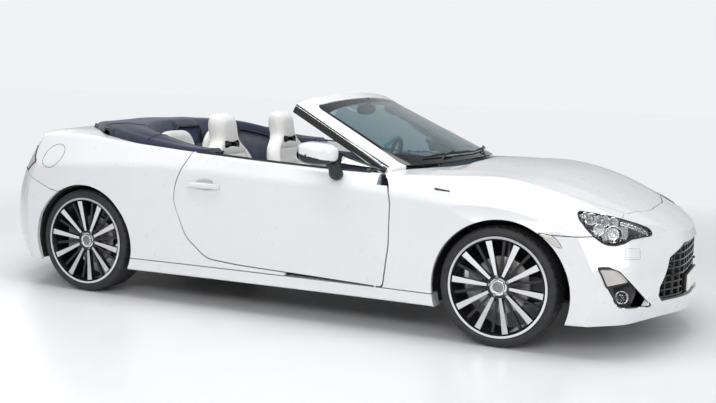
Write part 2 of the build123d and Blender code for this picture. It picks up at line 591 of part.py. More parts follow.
def upright(wx, r):
    caliper = box(wx - 172, wx - 98, DISC_IN_Y - 26, DISC_OUT_Y + 24, HUB_Z - 62, HUB_Z + 62)
    caliper = caliper - cyl_y(wx, HUB_Z, r + 5, DISC_IN_Y - 6, DISC_OUT_Y + 6)
    body = box(wx - 38, wx + 38, 664, DISC_IN_Y - 8, UPRIGHT_FOOT_Z, HUB_Z + 110)
    spindle = cyl_y(wx, HUB_Z, BORE_R - SEAT, DISC_IN_Y - 10, RIM_FACE_Y - 58)
    flange = cyl_y(wx, HUB_Z, 62, DISC_IN_Y - 30, DISC_IN_Y - 8)
    ear = box(wx - 168, wx - 20, DISC_IN_Y - 26, DISC_IN_Y - 8, HUB_Z - 50, HUB_Z + 50)
    return body + spindle + flange + ear + caliper


BALL_R = 11.0
knuckle = upright(FRONT_AXLE_X, DISC_R["front"])
knuckle = knuckle + rod((1268, 669, 360), (1263.4, 607, 618), 20)
knuckle = knuckle + box(1130, 1240, 664, 690, 232, 262)
knuckle = knuckle - Pos(*KINGPIN_FOOT) * Sphere(BALL_R + SEAT)
save("knuckle_left", knuckle)
save("knuckle_right", mirrored(knuckle))

# ---- subframes --------------------------------------------------------------
ENGINE_Z = 290.0
front_arm = [(1130, 420), (1400, 420), (1306, 660), (1290, 716), (1250, 716), (1234, 660)]
left_side = prism_z(front_arm, 158, 174, 12) + box(1120, 1420, 380, 440, 176, 300 - SEAT)
left_side = left_side + box(1280, 1340, 180, 250, 150, ENGINE_Z - SEAT)
left_side = left_side + cyl_z(*KINGPIN_FOOT[:2], 5, 165, 190) + Pos(*KINGPIN_FOOT) * Sphere(BALL_R)
cross = box(1120, 1420, -430, 430, 150, 176) + box(1130, 1170, -440, 440, 176, 240)
save("front_subframe", cross + cyl_y(1185, 262, 22, -440, 440) + both(left_side))

rear_left = upright(REAR_AXLE_X, DISC_R["rear"])
rear_left = rear_left + box(-1330, -1270, 380, 700, 176, 200) + box(-1320, -1280, 380, 690, 330, 346)
rear_left = rear_left + cyl_y(REAR_AXLE_X, HUB_Z, 16, 120, 690)
rear_left = rear_left + box(-1340, -1260, 370, 400, 176, BOOT_FLOOR_Z)
rear_left = rear_left + box(-1395, -1325, 560, 690, 176, 200) + cyl_z(-1362, 588, 34, 190, 560)
save("rear_subframe", box(-1420, -1206, -400, 400, 262, BOOT_FLOOR_Z) + both(rear_left))

# ---- engine, exhaust --------------------------------------------------------
save("engine", box(800, 1440, -260, 260, ENGINE_Z, 740))

MUFFLER_X, MUFFLER_Z, MUFFLER_R = -1600.0, 262.0, 95.0
outlet = box(-1720, -1600, 460, 534, 205, 262)
outlet = outlet + rod((-1690, TAILPIPE_Y, TAILPIPE_Z), (-2012, TAILPIPE_Y, TAILPIPE_Z), TAILPIPE_R)
exhaust = rod((690, -30, 225), (-1100, -30, 225), 32) + box(MUFFLER_X, -1080, -62, 2, 193, 250)
exhaust = exhaust + cyl_y(MUFFLER_X, MUFFLER_Z, MUFFLER_R, -500, 500) + both(outlet)
save("exhaust", exhaust + box(-1620, -1580, -20, 20, 340, BOOT_FLOOR_Z - SEAT))

# ---- cabin ------------------------------------------------------------------
SEAT_SIDE = [
    (150, 300), (160, 392), (110, 425), (-310, 378), (-392, 400), (-430, 470), (-575, 905),
    (-598, 1070), (-640, 1098), (-690, 1085), (-712, 1020), (-668, 880), (-520, 320),
    (-430, 262), (60, 262),
]
SEAT_FRONT = [(-250, 250), (-262, 480), (-258, 700), (-190, 880), (-120, 935), (-112, 1060), (-70, 1100)]
SEAT_SLOT = [(-92, 912), (-84, 880), (0, 894), (84, 880), (92, 912), (74, 930), (0, 914), (-74, 930)]
REAR_SEAT_SIDE = [
    (-700, FLOOR_TOP_Z + SEAT), (-700, 420), (-760, 450), (-1000, 420), (-1030, 480),
    (-1045, 925), (-1058, 948), (-1076, 938), (-1088, 845), (SEAT_WALL_X + SEAT, 790),
    (SEAT_WALL_X + SEAT, FLOOR_TOP_Z + SEAT),
]
REAR_SEAT_FRONT = [(535, 190), (535, 780), (480, 830), (405, 862), (375, 960)]
SEAT_BASE_Z = 262.0


def seat(y):
    shell = prism_y(SEAT_SIDE, y - 270, y + 270, 26)
    shell = shell & prism_x([(y + v, z) for v, z in wide(SEAT_FRONT)], -760, 200, 34)
    return shell - prism_x([(y + v, z) for v, z in SEAT_SLOT], -760, -480, 8)


save("seat_right", seat(-DRIVER_Y))
save("seat_left", seat(DRIVER_Y))
inner_rail = box(-400, 40, 170, 200, FLOOR_TOP_Z, SEAT_BASE_Z - SEAT)
outer_rail = box(-400, 40, 540, 570, FLOOR_TOP_Z, SEAT_BASE_Z - SEAT)
save("seat_runners", both(inner_rail + outer_rail))

rear_seat = prism_y(REAR_SEAT_SIDE, -560, 560, 20) & prism_x(wide(REAR_SEAT_FRONT), -1300, -600, 20)
rear_seat = rear_seat - box(-1300, -600, -TUNNEL_Y - SEAT, TUNNEL_Y + SEAT, 190, TUNNEL_Z + SEAT)
save("rear_seat", rear_seat)

CONSOLE_SIDE = [(-600, TUNNEL_Z), (-600, 520), (-240, 520), (40, 470), (240, 480), (400, 556)]
CONSOLE_SIDE.append((400, TUNNEL_Z))
save("centre_console", prism_y(CONSOLE_SIDE, -105, 105, [1, 14, 14, 14, 14, 14, 1]))

STEER_HUB, STEER_TILT = (425.0, -DRIVER_Y, 833.0), radians(24.0)
STEER_R, COLUMN_R = 178.0, 22.0
axis_in = (-cos(STEER_TILT), 0, sin(STEER_TILT))
steer_plane = Plane(origin=STEER_HUB, x_dir=(0, 1, 0), z_dir=axis_in)
arms = box(-172, 172, -13, 13, -14, 2) + box(-15, 15, -172, 0, -14, 2)
wheel = Torus(STEER_R, 15) + Pos(0, 0, -14) * Cylinder(62, 44) + arms
save("steering_wheel", steer_plane * (wheel + Pos(0, 0, -72) * Cylinder(COLUMN_R, 104)))

DASH_SIDE = [
    (404, 640), (462, 790), (512, 842), (600, 850), (850, 846), (850, 796),
    (BULKHEAD_X - SEAT, 796), (BULKHEAD_X - SEAT, 640), (580, 560), (470, 560),
]
dash = prism_y(DASH_SIDE, -700, 700, [20, 30, 50, 10, 1, 1, 1, 10, 20, 20])
dash = dash & prism_z(sym(DASH_PLAN), 500, 900)
dash = dash - steer_plane * Pos(0, 0, -110) * Cylinder(COLUMN_R + SEAT, 180)
save("dashboard", dash)
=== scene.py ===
"""Looks of an open 2+2 roadster: finishes, soft goods, lamps, glass and trim round the CAD frame.

Metres, +X nose, +Y left, +Z up. Each function makes one kind of piece or one finish.
"""

from math import atan2, cos, pi, radians, sin, sqrt

import bmesh
import bpy
from mathutils import Matrix, Vector, noise
from mathutils.bvhtree import BVHTree


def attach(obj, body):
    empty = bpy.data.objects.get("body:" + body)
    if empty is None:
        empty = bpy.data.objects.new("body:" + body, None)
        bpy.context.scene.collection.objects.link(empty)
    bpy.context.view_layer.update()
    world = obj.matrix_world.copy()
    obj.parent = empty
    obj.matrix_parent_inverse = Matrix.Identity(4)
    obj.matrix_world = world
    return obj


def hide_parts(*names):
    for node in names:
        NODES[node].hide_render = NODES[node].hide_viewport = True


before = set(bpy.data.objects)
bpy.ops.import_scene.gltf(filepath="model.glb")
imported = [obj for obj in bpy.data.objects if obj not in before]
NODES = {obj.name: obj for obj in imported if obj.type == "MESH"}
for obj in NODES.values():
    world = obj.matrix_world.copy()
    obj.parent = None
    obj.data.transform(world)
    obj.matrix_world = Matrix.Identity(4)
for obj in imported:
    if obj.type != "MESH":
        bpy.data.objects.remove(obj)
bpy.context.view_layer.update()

SIDES = (("left", 1), ("right", -1))
FRONT_AXLE_X, REAR_AXLE_X = 1.270, -1.300
AXLES = (("front", FRONT_AXLE_X), ("rear", REAR_AXLE_X))
HUB_Z, RIM_FACE_Y = 0.3088, 0.862
DRIVER_Y = 0.370
BODY = "body"


# ---- finishes ----------------------------------------------------------------
class Finish:
    """A Principled material with its nodes; places are object coordinates in metres."""

    def __init__(self, name, colour, rough, metal=0.0, **sockets):
        self.mat = bpy.data.materials.new(name)
        self.mat.use_nodes = True
        self.nodes, self.links = self.mat.node_tree.nodes, self.mat.node_tree.links
        self.bsdf = self.nodes["Principled BSDF"]
        self.out = self.nodes["Material Output"]
        coords = self.nodes.new("ShaderNodeTexCoord")
        self.place, self.normal = coords.outputs["Object"], coords.outputs["Normal"]
        self.colour, self.rough, self.height = colour, rough, None
        self.bsdf.inputs["Base Color"].default_value = (*colour, 1)
        self.bsdf.inputs["Roughness"].default_value = rough
        self.bsdf.inputs["Metallic"].default_value = metal
        for socket, value in sockets.items():
            self.bsdf.inputs[socket.replace("_", " ")].default_value = value

    def put(self, value, socket):
        if isinstance(value, bpy.types.NodeSocket):
            self.links.new(value, socket)
        else:
            socket.default_value = value

    def math(self, kind, a, b=0.0, clamp=False):
        node = self.nodes.new("ShaderNodeMath")
        node.operation, node.use_clamp = kind, clamp
        self.put(a, node.inputs[0])
        self.put(b, node.inputs[1])
        return node.outputs[0]

    def axes(self, socket=None):
        node = self.nodes.new("ShaderNodeSeparateXYZ")
        self.put(socket or self.place, node.inputs[0])
        return node.outputs

    def stretched(self, scale):
        node = self.nodes.new("ShaderNodeMapping")
        self.put(self.place, node.inputs["Vector"])
        node.inputs["Scale"].default_value = scale
        return node.outputs[0]

    def noise(self, scale, detail=3.0, place=None):
        node = self.nodes.new("ShaderNodeTexNoise")
        self.put(place or self.place, node.inputs["Vector"])
        node.inputs["Scale"].default_value, node.inputs["Detail"].default_value = scale, detail
        return node.outputs["Fac"]

    def cells(self, scale, feature="F1"):
        node = self.nodes.new("ShaderNodeTexVoronoi")
        node.feature = feature
        self.put(self.place, node.inputs["Vector"])
        node.inputs["Scale"].default_value = scale
        return node.outputs["Distance"]

    def wave(self, scale, direction):
        node = self.nodes.new("ShaderNodeTexWave")
        node.bands_direction = direction
        self.put(self.place, node.inputs["Vector"])
        node.inputs["Scale"].default_value = scale
        return node.outputs["Fac"]

    def range(self, value, low, high, to_low=0.0, to_high=1.0):
        node = self.nodes.new("ShaderNodeMapRange")
        for socket, v in zip(node.inputs, (value, low, high, to_low, to_high)):
            self.put(v, socket)
        return node.outputs[0]

    def tint(self, factor, low, high):
        """Base colour runs from low to high as factor goes from 0 to 1."""
        node = self.nodes.new("ShaderNodeMix")
        node.data_type = "RGBA"
        self.put(factor, node.inputs["Factor"])
        for socket, value in ((node.inputs[6], low), (node.inputs[7], high)):
            self.put(value if isinstance(value, bpy.types.NodeSocket) else (*value, 1), socket)
        self.links.new(node.outputs[2], self.bsdf.inputs["Base Color"])
        return node.outputs[2]

    def mottle(self, scale=6.0, amount=0.05, shine=0.12):
        """Slow change of colour and gloss over the surface."""
        slow = self.noise(scale)
        low = tuple(c * (1 - amount) for c in self.colour)
        high = tuple(min(1, c * (1 + amount)) for c in self.colour)
        self.tint(self.range(slow, 0.3, 0.7), low, high)
        fine = self.noise(scale * 9)
        near = (self.rough * (1 - shine), min(1, self.rough * (1 + shine)))
        self.links.new(self.range(fine, 0.3, 0.7, *near), self.bsdf.inputs["Roughness"])
        return self

    def bump(self, height, strength=0.3, depth=0.0004):
        node = self.nodes.new("ShaderNodeBump")
        node.inputs["Strength"].default_value = strength
        node.inputs["Distance"].default_value = depth
        self.put(height, node.inputs["Height"])
        if self.height:
            self.links.new(self.height, node.inputs["Normal"])
        self.height = node.outputs[0]
        self.links.new(self.height, self.bsdf.inputs["Normal"])
        return self

    def mixed(self, factor, shader):
        """Show another shader where factor is 1."""
        both = self.nodes.new("ShaderNodeMixShader")
        self.links.new(factor, both.inputs[0])
        self.links.new(self.bsdf.outputs[0], both.inputs[1])
        self.links.new(shader.outputs[0], both.inputs[2])
        self.links.new(both.outputs[0], self.out.inputs["Surface"])

    def worn(self, colour, amount=0.35):
        """Edges rub to another colour."""
        edge = self.nodes.new("ShaderNodeNewGeometry").outputs["Pointiness"]
        rubbed = self.math("MULTIPLY", self.range(edge, 0.51, 0.60), amount)
        base = self.bsdf.inputs["Base Color"]
        before = base.links[0].from_socket if base.links else self.colour
        self.tint(rubbed, before, colour)
        return self


def paint():
    """Pearl white: a clear coat over fine flakes."""
    f = Finish("pearl_paint", (0.80, 0.805, 0.82), 0.30, Coat_Weight=1.0, Coat_Roughness=0.03)
    f.mottle(2.5, 0.012, 0.1)
    return f.bump(f.noise(900), 0.015, 0.00005).mat


def plastic(name, colour, rough, grain=900.0, strength=0.25):
    """Moulded plastic with a fine spark-eroded grain."""
    f = Finish(name, colour, rough)
    f.mottle(12, 0.10)
    return f.bump(f.cells(grain), strength, 0.0002).worn(tuple(c * 1.8 + 0.02 for c in colour)).mat


def rubber():
    """Tyre rubber, paler where its edges rub."""
    f = Finish("tyre_rubber", (0.022, 0.022, 0.024), 0.62)
    f.mottle(20, 0.25)
    f.bump(f.noise(300), 0.25, 0.0004)
    return f.worn((0.07, 0.068, 0.065), 0.3).mat


def metal(name, colour, rough, streaks=(30, 30, 900), strength=0.08):
    """Bare metal with marks drawn out by the scale of its streaks."""
    f = Finish(name, colour, rough, 1.0)
    f.mottle(15, 0.06, 0.25)
    return f.bump(f.noise(1.0, 4, f.stretched(streaks)), strength, 0.0001).mat


def machined_rim():
    """Bright turned faces over gloss black pockets, told apart by depth and facing."""
    f = Finish("machined_rim", (0.80, 0.81, 0.83), 0.24)
    y, facing = f.axes()[1], f.axes(f.normal)[1]
    outer = f.range(f.math("ABSOLUTE", y), 0.8345, 0.8350)
    flat = f.range(f.math("ABSOLUTE", facing), 0.80, 0.84)
    bright = f.math("MULTIPLY", outer, flat)
    turned = f.noise(500)
    black = f.range(f.noise(25), 0.3, 0.7, 0.008, 0.016)
    f.tint(bright, (0.012, 0.012, 0.014), f.tint(turned, (0.74, 0.75, 0.77), (0.86, 0.87, 0.88)))
    f.links.new(bright, f.bsdf.inputs["Metallic"])
    f.links.new(f.math("ADD", f.math("MULTIPLY", bright, 0.14), f.math("ADD", black, 0.10)),
                f.bsdf.inputs["Roughness"])
    return f.bump(turned, 0.04, 0.0001).mat


def leather(name, colour, rough=0.42):
    """Grained hide with soft creasing."""
    f = Finish(name, colour, rough, Sheen_Weight=0.05)
    f.mottle(7, 0.035, 0.2)
    f.bump(f.cells(420, "DISTANCE_TO_EDGE"), 0.22, 0.0006)
    f.bump(f.noise(26), 0.2, 0.002)
    return f.worn(tuple(c * 0.86 for c in colour), 0.5).mat


def canvas(name, colour):
    """Woven roof cloth."""
    f = Finish(name, colour, 0.85, Sheen_Weight=0.25, Sheen_Roughness=0.5)
    f.mottle(9, 0.16, 0.1)
    weave = f.math("MAXIMUM", f.wave(230, "X"), f.wave(230, "Y"))
    f.bump(weave, 0.5, 0.0006)
    return f.bump(f.noise(60), 0.3, 0.002).mat


def underbody():
    """Black undercoat outside, carpet inside the cabin."""
    f = Finish("undercoat", (0.02, 0.02, 0.022), 0.7)
    x, _, z = f.axes()
    inside = f.math("MULTIPLY", f.range(x, -1.178, -1.176), f.range(x, 0.707, 0.706))
    inside = f.math("MULTIPLY", inside, f.range(z, 0.196, 0.1975))
    f.tint(inside, f.tint(f.noise(14), (0.012, 0.012, 0.013), (0.03, 0.03, 0.032)), (0.016, 0.020, 0.036))
    f.links.new(f.range(inside, 0, 1, 0.62, 0.95), f.bsdf.inputs["Roughness"])
    return f.bump(f.noise(260), 0.6, 0.002).mat


def clear(name, colour, rough=0.02):
    """Clear moulded lens or glass."""
    f = Finish(name, colour, rough, IOR=1.45, Transmission_Weight=1.0)
    f.tint(f.noise(5), tuple(c * 0.97 for c in colour), colour)
    return f.bump(f.noise(40), 0.02, 0.0001)


def milky(name, colour, through):
    """Moulded lens that hides most of what is behind it."""
    f = Finish(name, colour, 0.06, IOR=1.45, Transmission_Weight=through, Coat_Weight=1.0, Coat_Roughness=0.03)
    f.tint(f.wave(90, "Z"), tuple(c * 0.90 for c in colour), colour)
    return f.bump(f.wave(90, "Z"), 0.15, 0.0004).mat


def windscreen_glass():
    """Tinted glass with a black printed border along its edges."""
    f = clear("windscreen_tint", (0.34, 0.50, 0.55))
    x, y, _ = f.axes()
    side = f.math("ABSOLUTE", y)
    reach = f.math("ADD", f.math("MULTIPLY", x, 0.110), 0.557)
    edge = f.range(f.math("SUBTRACT", side, reach), 0.0, 0.002)
    crown = f.math("SUBTRACT", 0.192, f.math("MULTIPLY", f.math("MULTIPLY", side, side), 0.05))
    top = f.range(f.math("SUBTRACT", crown, x), 0.0, 0.002)
    foot = f.math("SUBTRACT", 0.852, f.math("MULTIPLY", f.math("POWER", side, 2.6), 0.93))
    foot = f.range(f.math("SUBTRACT", x, foot), 0.0, 0.002)
    border = f.math("MAXIMUM", f.math("MAXIMUM", edge, top), foot)
    black = f.nodes.new("ShaderNodeBsdfPrincipled")
    black.inputs["Base Color"].default_value = (0.008, 0.008, 0.009, 1)
    black.inputs["Roughness"].default_value = 0.08
    f.mixed(border, black)
    return f.mat


NAVY = (0.011, 0.016, 0.046)
MAT = {
    "paint": paint(),
    "black": plastic("satin_black", (0.014, 0.014, 0.015), 0.38),
    "gloss": plastic("gloss_black", (0.008, 0.008, 0.009), 0.10, 1500, 0.03),
    "seal": plastic("black_rubber", (0.012, 0.012, 0.012), 0.55, 600),
    "grey": plastic("grey_plastic", (0.16, 0.16, 0.17), 0.5),
    "rubber": rubber(),
    "rim": machined_rim(),
    "steel": metal("bare_steel", (0.42, 0.41, 0.40), 0.38),
    "disc": metal("turned_iron", (0.34, 0.33, 0.32), 0.32, (20, 1500, 20), 0.15),
    "cast": metal("cast_alloy", (0.30, 0.30, 0.31), 0.55, (200, 200, 200), 0.3),
    "chrome": metal("bright_chrome", (0.86, 0.87, 0.88), 0.06, (200, 200, 200), 0.01),
    "white_leather": leather("white_leather", (0.78, 0.77, 0.75)),
    "navy_leather": leather("navy_leather", NAVY, 0.5),
    "canvas": canvas("navy_canvas", NAVY),
    "webbing": canvas("black_webbing", (0.014, 0.015, 0.02)),
    "tub": underbody(),
    "screen": windscreen_glass(),
    "lens": clear("clear_lens", (0.97, 0.98, 0.98)).mat,
    "red_lens": clear("red_lens", (0.85, 0.08, 0.06), 0.05).mat,
    "rose_lens": milky("rose_lens", (0.72, 0.42, 0.38), 0.25),
    "thread": plastic("seat_thread", (0.55, 0.54, 0.52), 0.7, 1200),
    "indicator": plastic("ribbed_lens", (0.62, 0.60, 0.56), 0.08, 700, 0.6),
    # painted shade: a darker grey than the body paint, standing in for the shade inside each door handle's finger
    # recess
    "shade": plastic("handle_painted_shade", (0.50, 0.50, 0.51), 0.35),
    "tint": milky("pale_green_glass", (0.62, 0.68, 0.60), 0.45),
    "plate": plastic("blank_plate", (0.72, 0.72, 0.70), 0.45, 300, 0.1),
}

NODE_FINISH = {
    "paint": ("bonnet wing_left wing_right quarter_left quarter_right boot_lid door_left door_right "
              "sill_left sill_right front_bumper rear_bumper windscreen_frame").split(),
    "gloss": ["grille"],
    "black": ["scuttle_panel", "fog_lamps"],
    "rim": [f"rim_{e}_{s}" for e, _ in AXLES for s, _ in SIDES],
    "disc": [f"brake_disc_{e}_{s}" for e, _ in AXLES for s, _ in SIDES],
    "cast": ["knuckle_left", "knuckle_right", "front_subframe", "rear_subframe", "engine"],
    "steel": ["exhaust", "seat_runners"],
    "tub": ["floor_tub"],
    "navy_leather": ["dashboard", "centre_console"],
    "white_leather": ["steering_wheel"],
    "screen": ["windscreen_glass"],
    "rose_lens": ["tail_lamps"],
}


def dress_nodes():
    for finish, names in NODE_FINISH.items():
        for name in names:
            mesh = NODES[name].data
            mesh.materials.clear()
            mesh.materials.append(MAT[finish])


# ---- drawing helpers -----------------------------------------------------------
def linked(name, data):
    """A new object in the scene."""
    obj = bpy.data.objects.new(name, data)
    bpy.context.scene.collection.objects.link(obj)
    return obj


def finished(name, data, body, finish):
    """A new object with its material that rides on its body."""
    data.materials.append(MAT[finish])
    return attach(linked(name, data), body)


def shaded(mesh, smooth=True):
    mesh.polygons.foreach_set("use_smooth", [smooth] * len(mesh.polygons))
    return mesh


def mesh_piece(name, points, faces, body, finish, smooth=True):
    mesh = bpy.data.meshes.new(name)
    mesh.from_pydata([tuple(p) for p in points], [], faces)
    return finished(name, shaded(mesh, smooth), body, finish)


def mesh_of(name, bm):
    """Turn a BMesh into a mesh and free it."""
    mesh = bpy.data.meshes.new(name)
    bm.to_mesh(mesh)
    bm.free()
    return mesh


def bmesh_piece(name, bm, body, finish, smooth=True):
    bmesh.ops.recalc_face_normals(bm, faces=bm.faces)
    return finished(name, shaded(mesh_of(name, bm), smooth), body, finish)


def loft_faces(rings, count, flipped=False):
    """Faces between closed rings of count points, and one over each end."""
    faces = []
    for i in range(rings - 1):
        for k in range(count):
            m = (k + 1) % count
            face = (i * count + k, i * count + m, (i + 1) * count + m, (i + 1) * count + k)
            faces.append((face[0], face[3], face[2], face[1]) if flipped else face)
    first, last = tuple(range(count)), tuple(range((rings - 1) * count, rings * count))
    return faces + ([first, last[::-1]] if flipped else [first[::-1], last])


def sheet_faces(rows, wide, flipped=False):
    """Faces of an open grid of rows with wide points each."""
    faces = [(i * wide + j, i * wide + j + 1, (i + 1) * wide + j + 1, (i + 1) * wide + j)
             for i in range(rows - 1) for j in range(wide - 1)]
    return [(a, d, c, b) for a, b, c, d in faces] if flipped else faces


def frame_faces(n):
    """Faces of a frame: inner and outer ring of n points on its near side, then on its far side."""
    faces = []
    for k in range(n):
        m = (k + 1) % n
        faces += [(k, m, n + m, n + k), (2 * n + k, 3 * n + k, 3 * n + m, 2 * n + m)]
        faces += [(k, 2 * n + k, 2 * n + m, m), (n + k, n + m, 3 * n + m, 3 * n + k)]
    return faces


def modify(obj, kind, **values):
    """Add a modifier with its settings."""
    modifier = obj.modifiers.new(kind.lower(), kind)
    for key, value in values.items():
        setattr(modifier, key, value)
    return obj


def subdivided(obj):
    return modify(obj, "SUBSURF", levels=2, render_levels=2)


def applied(obj):
    """Bake the modifiers into the mesh."""
    shape = obj.evaluated_get(bpy.context.evaluated_depsgraph_get())
    mesh = bpy.data.meshes.new_from_object(shape)
    obj.modifiers.clear()
    obj.data = mesh
    return obj


def cord_line(name, points, radius, body, finish, closed=False):
    """Smooth tube through points, such as a seal or a wire."""
    curve = bpy.data.curves.new(name, "CURVE")
    curve.dimensions, curve.bevel_depth, curve.bevel_resolution = "3D", radius, 2
    line = curve.splines.new("BEZIER")
    line.bezier_points.add(len(points) - 1)
    for knot, p in zip(line.bezier_points, points):
        knot.co, knot.handle_left_type, knot.handle_right_type = p, "AUTO", "AUTO"
    line.use_cyclic_u, line.resolution_u = closed, 6
    curve.use_fill_caps = True
    return finished(name, curve, body, finish)


def lathe(profile, segments, place, wobble=None):
    """Points and faces of a closed profile (radius, depth) turned about an axle."""
    points, faces, n = [], [], len(profile)
    for i in range(segments):
        a = 2 * pi * i / segments
        for j, (r, d) in enumerate(profile):
            dr, dd = wobble(i, j, r, d) if wobble else (0, 0)
            points.append(place((r + dr) * cos(a), (r + dr) * sin(a), d + dd))
    for i in range(segments):
        k = (i + 1) % segments
        for j in range(n):
            m = (j + 1) % n
            faces.append((i * n + j, i * n + m, k * n + m, k * n + j))
    return points, faces


def about_axle(x, side):
    """Places (forward, up, outward) about the hub, from the rim's outer face."""
    return lambda u, v, d: Vector((x + u, side * (RIM_FACE_Y + d), HUB_Z + v))


def surface_of(obj):
    mesh = obj.data
    return BVHTree.FromPolygons([v.co for v in mesh.vertices], [p.vertices for p in mesh.polygons])


def trees(*names):
    """Ray-casting trees of CAD nodes."""
    return [surface_of(NODES[name]) for name in names]


def cast(found, origin, direction):
    """Nearest hit of several trees: point, normal."""
    best = None
    for tree in found:
        hit = tree.ray_cast(Vector(origin), Vector(direction).normalized(), 3.0)
        if hit[0] is not None and (best is None or hit[3] < best[2]):
            best = (hit[0], hit[1], hit[3])
    return best


def cast_path(found, points, direction, lift=0.0):
    """Where points land along a direction, lifted off along the normals there."""
    hits = [cast(found, p, direction) for p in points]
    return [hit[0] + hit[1] * lift for hit in hits if hit]


# ---- wheels --------------------------------------------------------------------
# Tyre section: radius, depth from the rim's outer face
TYRE_PROFILE = [
    (0.2475, -0.0160), (0.2597, -0.0128), (0.2600, -0.0060), (0.2640, -0.0010), (0.2655, 0.0002),
    (0.2670, 0.0000), (0.2685, 0.0010), (0.2760, 0.0022), (0.2775, 0.0030), (0.2790, 0.0022),
    (0.2860, 0.0016), (0.2930, -0.0010), (0.2985, -0.0048), (0.3025, -0.0100), (0.3052, -0.0170),
    (0.3070, -0.0250), (0.3078, -0.0330), (0.3080, -0.0450), (0.3010, -0.0465), (0.3010, -0.0535),
    (0.3083, -0.0550), (0.3087, -0.0800), (0.3015, -0.0815), (0.3015, -0.0905), (0.3088, -0.0920),
    (0.3088, -0.1230), (0.3015, -0.1245), (0.3015, -0.1335), (0.3087, -0.1350), (0.3083, -0.1600),
    (0.3010, -0.1615), (0.3010, -0.1685), (0.3080, -0.1700), (0.3078, -0.1820), (0.3070, -0.1900),
    (0.3052, -0.1980), (0.3025, -0.2050), (0.2985, -0.2102), (0.2930, -0.2140), (0.2860, -0.2166),
    (0.2775, -0.2175), (0.2685, -0.2165), (0.2600, -0.2090), (0.2597, -0.2022), (0.2475, -0.1990),
]
TREAD_STEPS, TREAD_PITCH = 264, 6
TREAD_FLOOR_R, TREAD_MIDDLE = 0.3015, -0.1075
SHOULDERS = (-0.046, -0.169)
SHOULDER_CUT, RIB_CUT, CUT_SLANT = -0.0050, -0.0035, 80


def tread(i, j, r, d):
    """Lateral slots through the shoulders and slanted cuts in the ribs."""
    if r < TREAD_FLOOR_R:
        return 0.0, 0.0
    if d > SHOULDERS[0] or d < SHOULDERS[1]:
        return (SHOULDER_CUT if i % TREAD_PITCH == 0 else 0.0), 0.0
    phase = (i + int(abs(d - TREAD_MIDDLE) * CUT_SLANT)) % TREAD_PITCH
    return (RIB_CUT if phase == 0 else 0.0), 0.0


def turned(name, profile, steps, place, body, finish, wobble=None):
    """Piece of a profile (radius, depth) turned about a place's axis."""
    points, faces = lathe(profile, steps, place, wobble)
    return mesh_piece(name, points, faces, body, finish)


def tyres():
    for end, x in AXLES:
        for tag, side in SIDES:
            tyre = turned(f"tread_tyre_{end}_{tag}", TYRE_PROFILE, TREAD_STEPS, about_axle(x, side),
                          f"wheel_{end}_{tag}", "rubber", tread)
            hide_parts(f"tyre_{end}_{tag}")


FIRST_SPOKE = {"front": -5.0, "rear": 27.0}
BOLTS, BOLT_CIRCLE_R, VALVE_R = 5, 0.050, 0.232
DISC_R = {"front": 0.148, "rear": 0.145}


def wheel_trim():
    """Lug bolts, plain cap and valve on each rim."""
    for end, x in AXLES:
        first = FIRST_SPOKE[end]
        for tag, side in SIDES:
            body, place = f"wheel_{end}_{tag}", about_axle(x, side)
            turned(f"cap_ring_{end}_{tag}", [(0.0275, -0.0205), (0.0290, -0.0170), (0.0325, -0.0170),
                                             (0.0338, -0.0205)], 48, place, body, "chrome")
            turned(f"cap_{end}_{tag}", [(0.0002, -0.0165), (0.0120, -0.0168), (0.0220, -0.0180), (0.0272, -0.0198),
                                        (0.0272, -0.0215), (0.0002, -0.0215)], 48, place, body, "cast")
            bolts = bmesh.new()
            for k in range(BOLTS):
                a = radians(first + (k + 0.5) * 360 / BOLTS)
                spot = place(BOLT_CIRCLE_R * cos(a), BOLT_CIRCLE_R * sin(a), -0.036)
                turn = Matrix.Translation(spot) @ Matrix.Rotation(pi / 2, 4, "X")
                bmesh.ops.create_cone(bolts, cap_ends=True, segments=6, radius1=0.0095,
                                      radius2=0.0085, depth=0.012, matrix=turn)
            bolts = bmesh_piece(f"lug_bolts_{end}_{tag}", bolts, body, "steel", False)
            modify(bolts, "BEVEL", width=0.0012, segments=2)
            a = radians(first + 18)
            stem = [place(VALVE_R * cos(a), VALVE_R * sin(a), -0.034 + 0.012 * k) for k in range(3)]
            cord_line(f"valve_{end}_{tag}", stem, 0.0042, body, "seal")


def brakes():
    """The bright track that the pads sweep on each brake disc."""
    for end, x in AXLES:
        r = DISC_R[end]
        for tag, side in SIDES:
            turned(f"disc_track_{end}_{tag}", [(r - 0.052, -0.0919), (r - 0.050, -0.0913), (r - 0.004, -0.0913),
                                               (r - 0.003, -0.0919)],
                   96, about_axle(x, side), f"wheel_{end}_{tag}", "steel")


# ---- soft goods ------------------------------------------------------------------
VOXEL = 0.006
CLOTH_FRAMES, CLOTH_PRESSURE, CLOTH_STIFFNESS = 20, 4.0, 12.0


def ring_form(rows, count, shape):
    """Closed form through rings of points; shape(row, angle) gives each point."""
    points = [shape(row, 2 * pi * k / count) for row in rows for k in range(count)]
    return points, loft_faces(len(rows), count)


def puffed(obj, cap):
    """Blow the form up as stuffed cloth, each point moving no further than cap."""
    start = [v.co.copy() for v in obj.data.vertices]
    modify(obj, "CLOTH")
    cloth = obj.modifiers[-1].settings
    cloth.use_pressure, cloth.uniform_pressure_force = True, CLOTH_PRESSURE
    cloth.tension_stiffness = cloth.compression_stiffness = CLOTH_STIFFNESS
    cloth.effector_weights.gravity = 0.0
    for step in range(1, CLOTH_FRAMES + 1):
        bpy.context.scene.frame_set(step)
    applied(obj)
    bpy.context.scene.frame_set(1)
    for v, before in zip(obj.data.vertices, start):
        move = v.co - before
        if move.length > cap:
            v.co = before + move * (cap / move.length)


def smooth_step(low, high, v):
    """Eased ramp from 0 at low to 1 at high."""
    t = max(0.0, min(1.0, (v - low) / (high - low)))
    return t * t * (3 - 2 * t)


